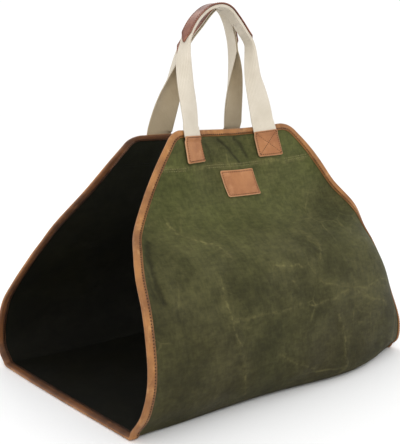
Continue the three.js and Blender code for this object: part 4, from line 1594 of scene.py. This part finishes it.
@dataclass(frozen=True)
class Grip:
    """Leather strip on the outer face of the folded webbing, pointed at both ends."""

    sizes: HandleSizes
    thickness: float = 1.6
    overhang: float = 0.5
    tip: float = 14.0
    tip_width: float = 0.15
    steps: int = 96
    stitch_start: float = 5.0
    edge: LeatherEdge = LeatherEdge(0.7, 0.5, 2.2, 0.13, 0.5)

    def _limits(self) -> tuple[float, float]:
        """Heights of the strip's two long edges over the crease line."""
        sizes = self.sizes
        depth = sizes.bend_radius + sizes.webbing_width / 2 - sizes.crease
        return sizes.webbing_thickness / 2 + self.overhang, -depth - self.overhang

    def _half_width(self, path: HandlePath) -> Array:
        """Half of the strip's width at each station, narrowing to its tips."""
        near, far = self._limits()
        return np.minimum(self.tip_width + path.in_grip / self.tip, 1)[:, None] * (near - far) / 2

    def _grid(self, path: HandlePath, shares: Array, over: Array | float) -> Array:
        """Points of the strip at shares of its width, over the webbing's outer face."""
        near, far = self._limits()
        up = (near + far) / 2 + shares[None] * self._half_width(path)
        inner = self.sizes.bend_radius + self.sizes.webbing_thickness / 2 + FORM.clearance
        return path.beside(-(inner + np.broadcast_to(over, up.shape)), up)

    def build(self, leather: Material, thread: Material) -> list[Piece]:
        """Make the strip and its stitches.

        Args:
            leather: Finish of the strip.
            thread: Finish of its stitches.

        Returns:
            The strip and the thread.
        """
        path = HandlePath.trace(self.sizes, 2, self.steps).grip_part()
        edge = 1 - np.cos(np.linspace(0, math.pi / 2, 4))
        shares = np.concatenate([-1 + edge * 0.1, np.linspace(-0.9, 0.9, 13)[1:-1], 1 - edge[::-1] * 0.1])
        near, far = self._limits()
        from_side = (1 - np.abs(shares))[None] * self._half_width(path)
        from_edge = np.minimum(from_side, path.in_grip[:, None] + 0.5)
        outer = self._grid(path, shares, self.edge.share(from_edge) * self.thickness)
        points = np.stack([outer, self._grid(path, shares, 0.0)])
        flat = flat_places(shares[None] * (near - far) / 2, path.run[:, None])
        name = f"{self.sizes.word}_grip"
        piece = sheet_object(f"{name}_leather", points, flat, leather)
        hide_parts(name)
        seam = 1 - self.edge.seam / (near - far) * 2
        inside = path.in_grip > self.stitch_start
        runs = []
        for share in (-seam, seam):
            line = self._grid(path, np.array([share]), self.thickness * 0.9)[inside, 0]
            runs.append(GRIP_STITCHES.geometry(line, -path.aside[inside]))
        return [piece, stitch_object(f"{name}_stitches", runs, thread)]


@dataclass(frozen=True)
class FacingSeam:
    """Two rows of stitches that hold the facing behind each rim."""

    drops: tuple[float, float] = (51.0, 54.0)

    def build(self) -> list[Piece]:
        """Make the stitches of both panels, on their outer and inner faces.

        Returns:
            The thread of each face.
        """
        made = []
        # The inner thread is near black as painted shade, for the shaded inside of the bag.
        for face, word, colour in ((1, "outer", (140, 132, 88)), (-1, "inner", (16, 15, 11))):
            runs = []
            for side in Side:
                for drop in self.drops:
                    reach = float(FORM.half_width(drop)) - FORM.binding_depth - 1
                    across = np.linspace(-reach, reach, 90)
                    for part in self._clear(across, side) if face > 0 else [across]:
                        along = FORM.along(side, np.full_like(part, drop))
                        path, outward = surface_run(part, along, face * FORM.skin)
                        runs.append(FACING_STITCHES.geometry(path, outward * face))
            thread = ThreadFinish(f"facing_thread_{word}", colour).material()
            made.append(stitch_object(f"facing_seam_stitches_{word}", runs, thread))
        return made

    def _clear(self, across: Array, side: Side) -> list[Array]:
        """Split a run where the tabs cover it."""
        sizes = FRONT if side is Side.FRONT else BACK
        covered = np.zeros(len(across), bool)
        for end in End:
            covered |= np.abs(across - sizes.foot(end)) < sizes.tab_width / 2 + 0.5
        changes = np.flatnonzero(np.diff(covered.astype(int))) + 1
        parts = zip(np.split(across, changes), np.split(covered, changes))
        return [part for part, under in parts if not under[0] and len(part) > 3]


@dataclass(frozen=True)
class Studio:
    """Pale floor, soft lights and the camera."""

    heading: float = 39.53
    pitch: float = 10.31
    lens: float = 60.39
    place: tuple[float, float, float] = (-685.91, -802.61, 395.05)
    floor_reach: float = 14.0
    floor_gap: float = 0.0004
    air_strength: float = 1.06
    lit_height: float = 0.22

    def build(self) -> None:
        """Make the floor, the world, the lights and the camera."""
        self._floor()
        world = bpy.data.worlds.new("studio_air")
        bpy.context.scene.world = world
        world.use_nodes = True
        air = world.node_tree.nodes["Background"]
        air.inputs["Color"].default_value = (1, 1, 1, 1)
        air.inputs["Strength"].default_value = self.air_strength
        self._light("key_light", (-1.2, -1.9, 1.9), 1.2, 18)
        self._light("fill_light", (1.8, -1.2, 1.2), 1.4, 1.5)
        self._light("rim_light", (0.6, 2.0, 1.8), 1.4, 8)
        self._camera()
        bpy.context.scene.view_settings.view_transform = "Standard"

    def _floor(self) -> None:
        """Lay the paper that the carrier stands on, a hair below its lowest point."""
        far = self.floor_reach
        mesh = bpy.data.meshes.new("studio_floor")
        corners = [(-far, -far, 0), (far, -far, 0), (far, far, 0), (-far, far, 0)]
        mesh.from_pydata(corners, [], [(0, 1, 2, 3)])
        mesh.materials.append(PaperFloorFinish().material())
        floor = bpy.data.objects.new("studio_floor", mesh)
        floor.location.z = -self.floor_gap
        bpy.context.scene.collection.objects.link(floor)

    def _camera(self) -> None:
        """Set the camera by its heading and its pitch."""
        camera = bpy.data.cameras.new("camera")
        camera.lens = self.lens
        camera.clip_start = 0.05
        viewer = bpy.data.objects.new("camera", camera)
        bpy.context.scene.collection.objects.link(viewer)
        viewer.location = Vector((np.array(self.place) + np.array(_shift())) * MM)
        turn, down = math.radians(self.heading), math.radians(self.pitch)
        level = math.cos(down)
        way = Vector((math.sin(turn) * level, math.cos(turn) * level, -math.sin(down)))
        viewer.rotation_euler = way.to_track_quat("-Z", "Y").to_euler()
        bpy.context.scene.camera = viewer

    def _light(self, name: str, place: tuple[float, float, float], size: float, power: float) -> None:
        """Add a soft square light that faces the carrier."""
        data = bpy.data.lights.new(name, "AREA")
        data.size = size
        data.energy = power
        lamp = bpy.data.objects.new(name, data)
        bpy.context.scene.collection.objects.link(lamp)
        lamp.location = place
        way = Vector((0, 0, self.lit_height)) - Vector(place)
        lamp.rotation_euler = way.to_track_quat("-Z", "Y").to_euler()


def main() -> None:
    """Build the carrier over its frame and report each piece."""
    logging.basicConfig(level=logging.INFO, format="%(name)s: %(message)s")
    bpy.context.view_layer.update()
    Studio().build()
    tan = LeatherFinish(
        "tan_leather", (166, 111, 66), (138, 86, 50), (194, 140, 96), 0.5, edge=(208, 166, 126)
    ).material()
    brown = LeatherFinish("grip_leather", (146, 92, 68), (98, 56, 42), (178, 124, 96), 0.42).material()
    dark_thread = ThreadFinish("dark_thread", (92, 54, 34)).material()
    cotton = WebbingFinish().material()
    # Painted shade: a darker, warmer cotton for the webbing's shaded inner faces.
    cotton_painted_shade = WebbingFinish("cotton_webbing_painted_shade", (186, 170, 142), (146, 128, 98)).material()
    pieces = [CanvasSheet().build(), *EdgeBinding().build()]
    pieces.extend(LabelPatch().build(tan, dark_thread))
    pieces.extend(FacingSeam().build())
    for sizes in (FRONT, BACK):
        pieces.append(WebbingHandle(sizes).build(cotton, cotton_painted_shade))
        pieces.extend(Grip(sizes).build(brown, dark_thread))
        for end in End:
            word = f"{sizes.word}_{end.name.lower()}_tab"
            bordered = sizes is FRONT and end is End.LEFT
            plan = StitchPlan.BORDER if bordered else StitchPlan.BOXED_CROSS
            tab = StrapTab(
                f"{word}_leather", word, sizes.side, sizes.foot(end), sizes.tab_width, sizes.tab_top,
                sizes.tab_height, sizes.tab_thickness, 2.5, plan, handle=sizes,
            )
            pieces.extend(tab.build(tan, dark_thread))
    for piece in pieces:
        LOG.info("%s: %d faces", piece.name, len(piece.data.polygons))


if __name__ == "__main__":
    main()
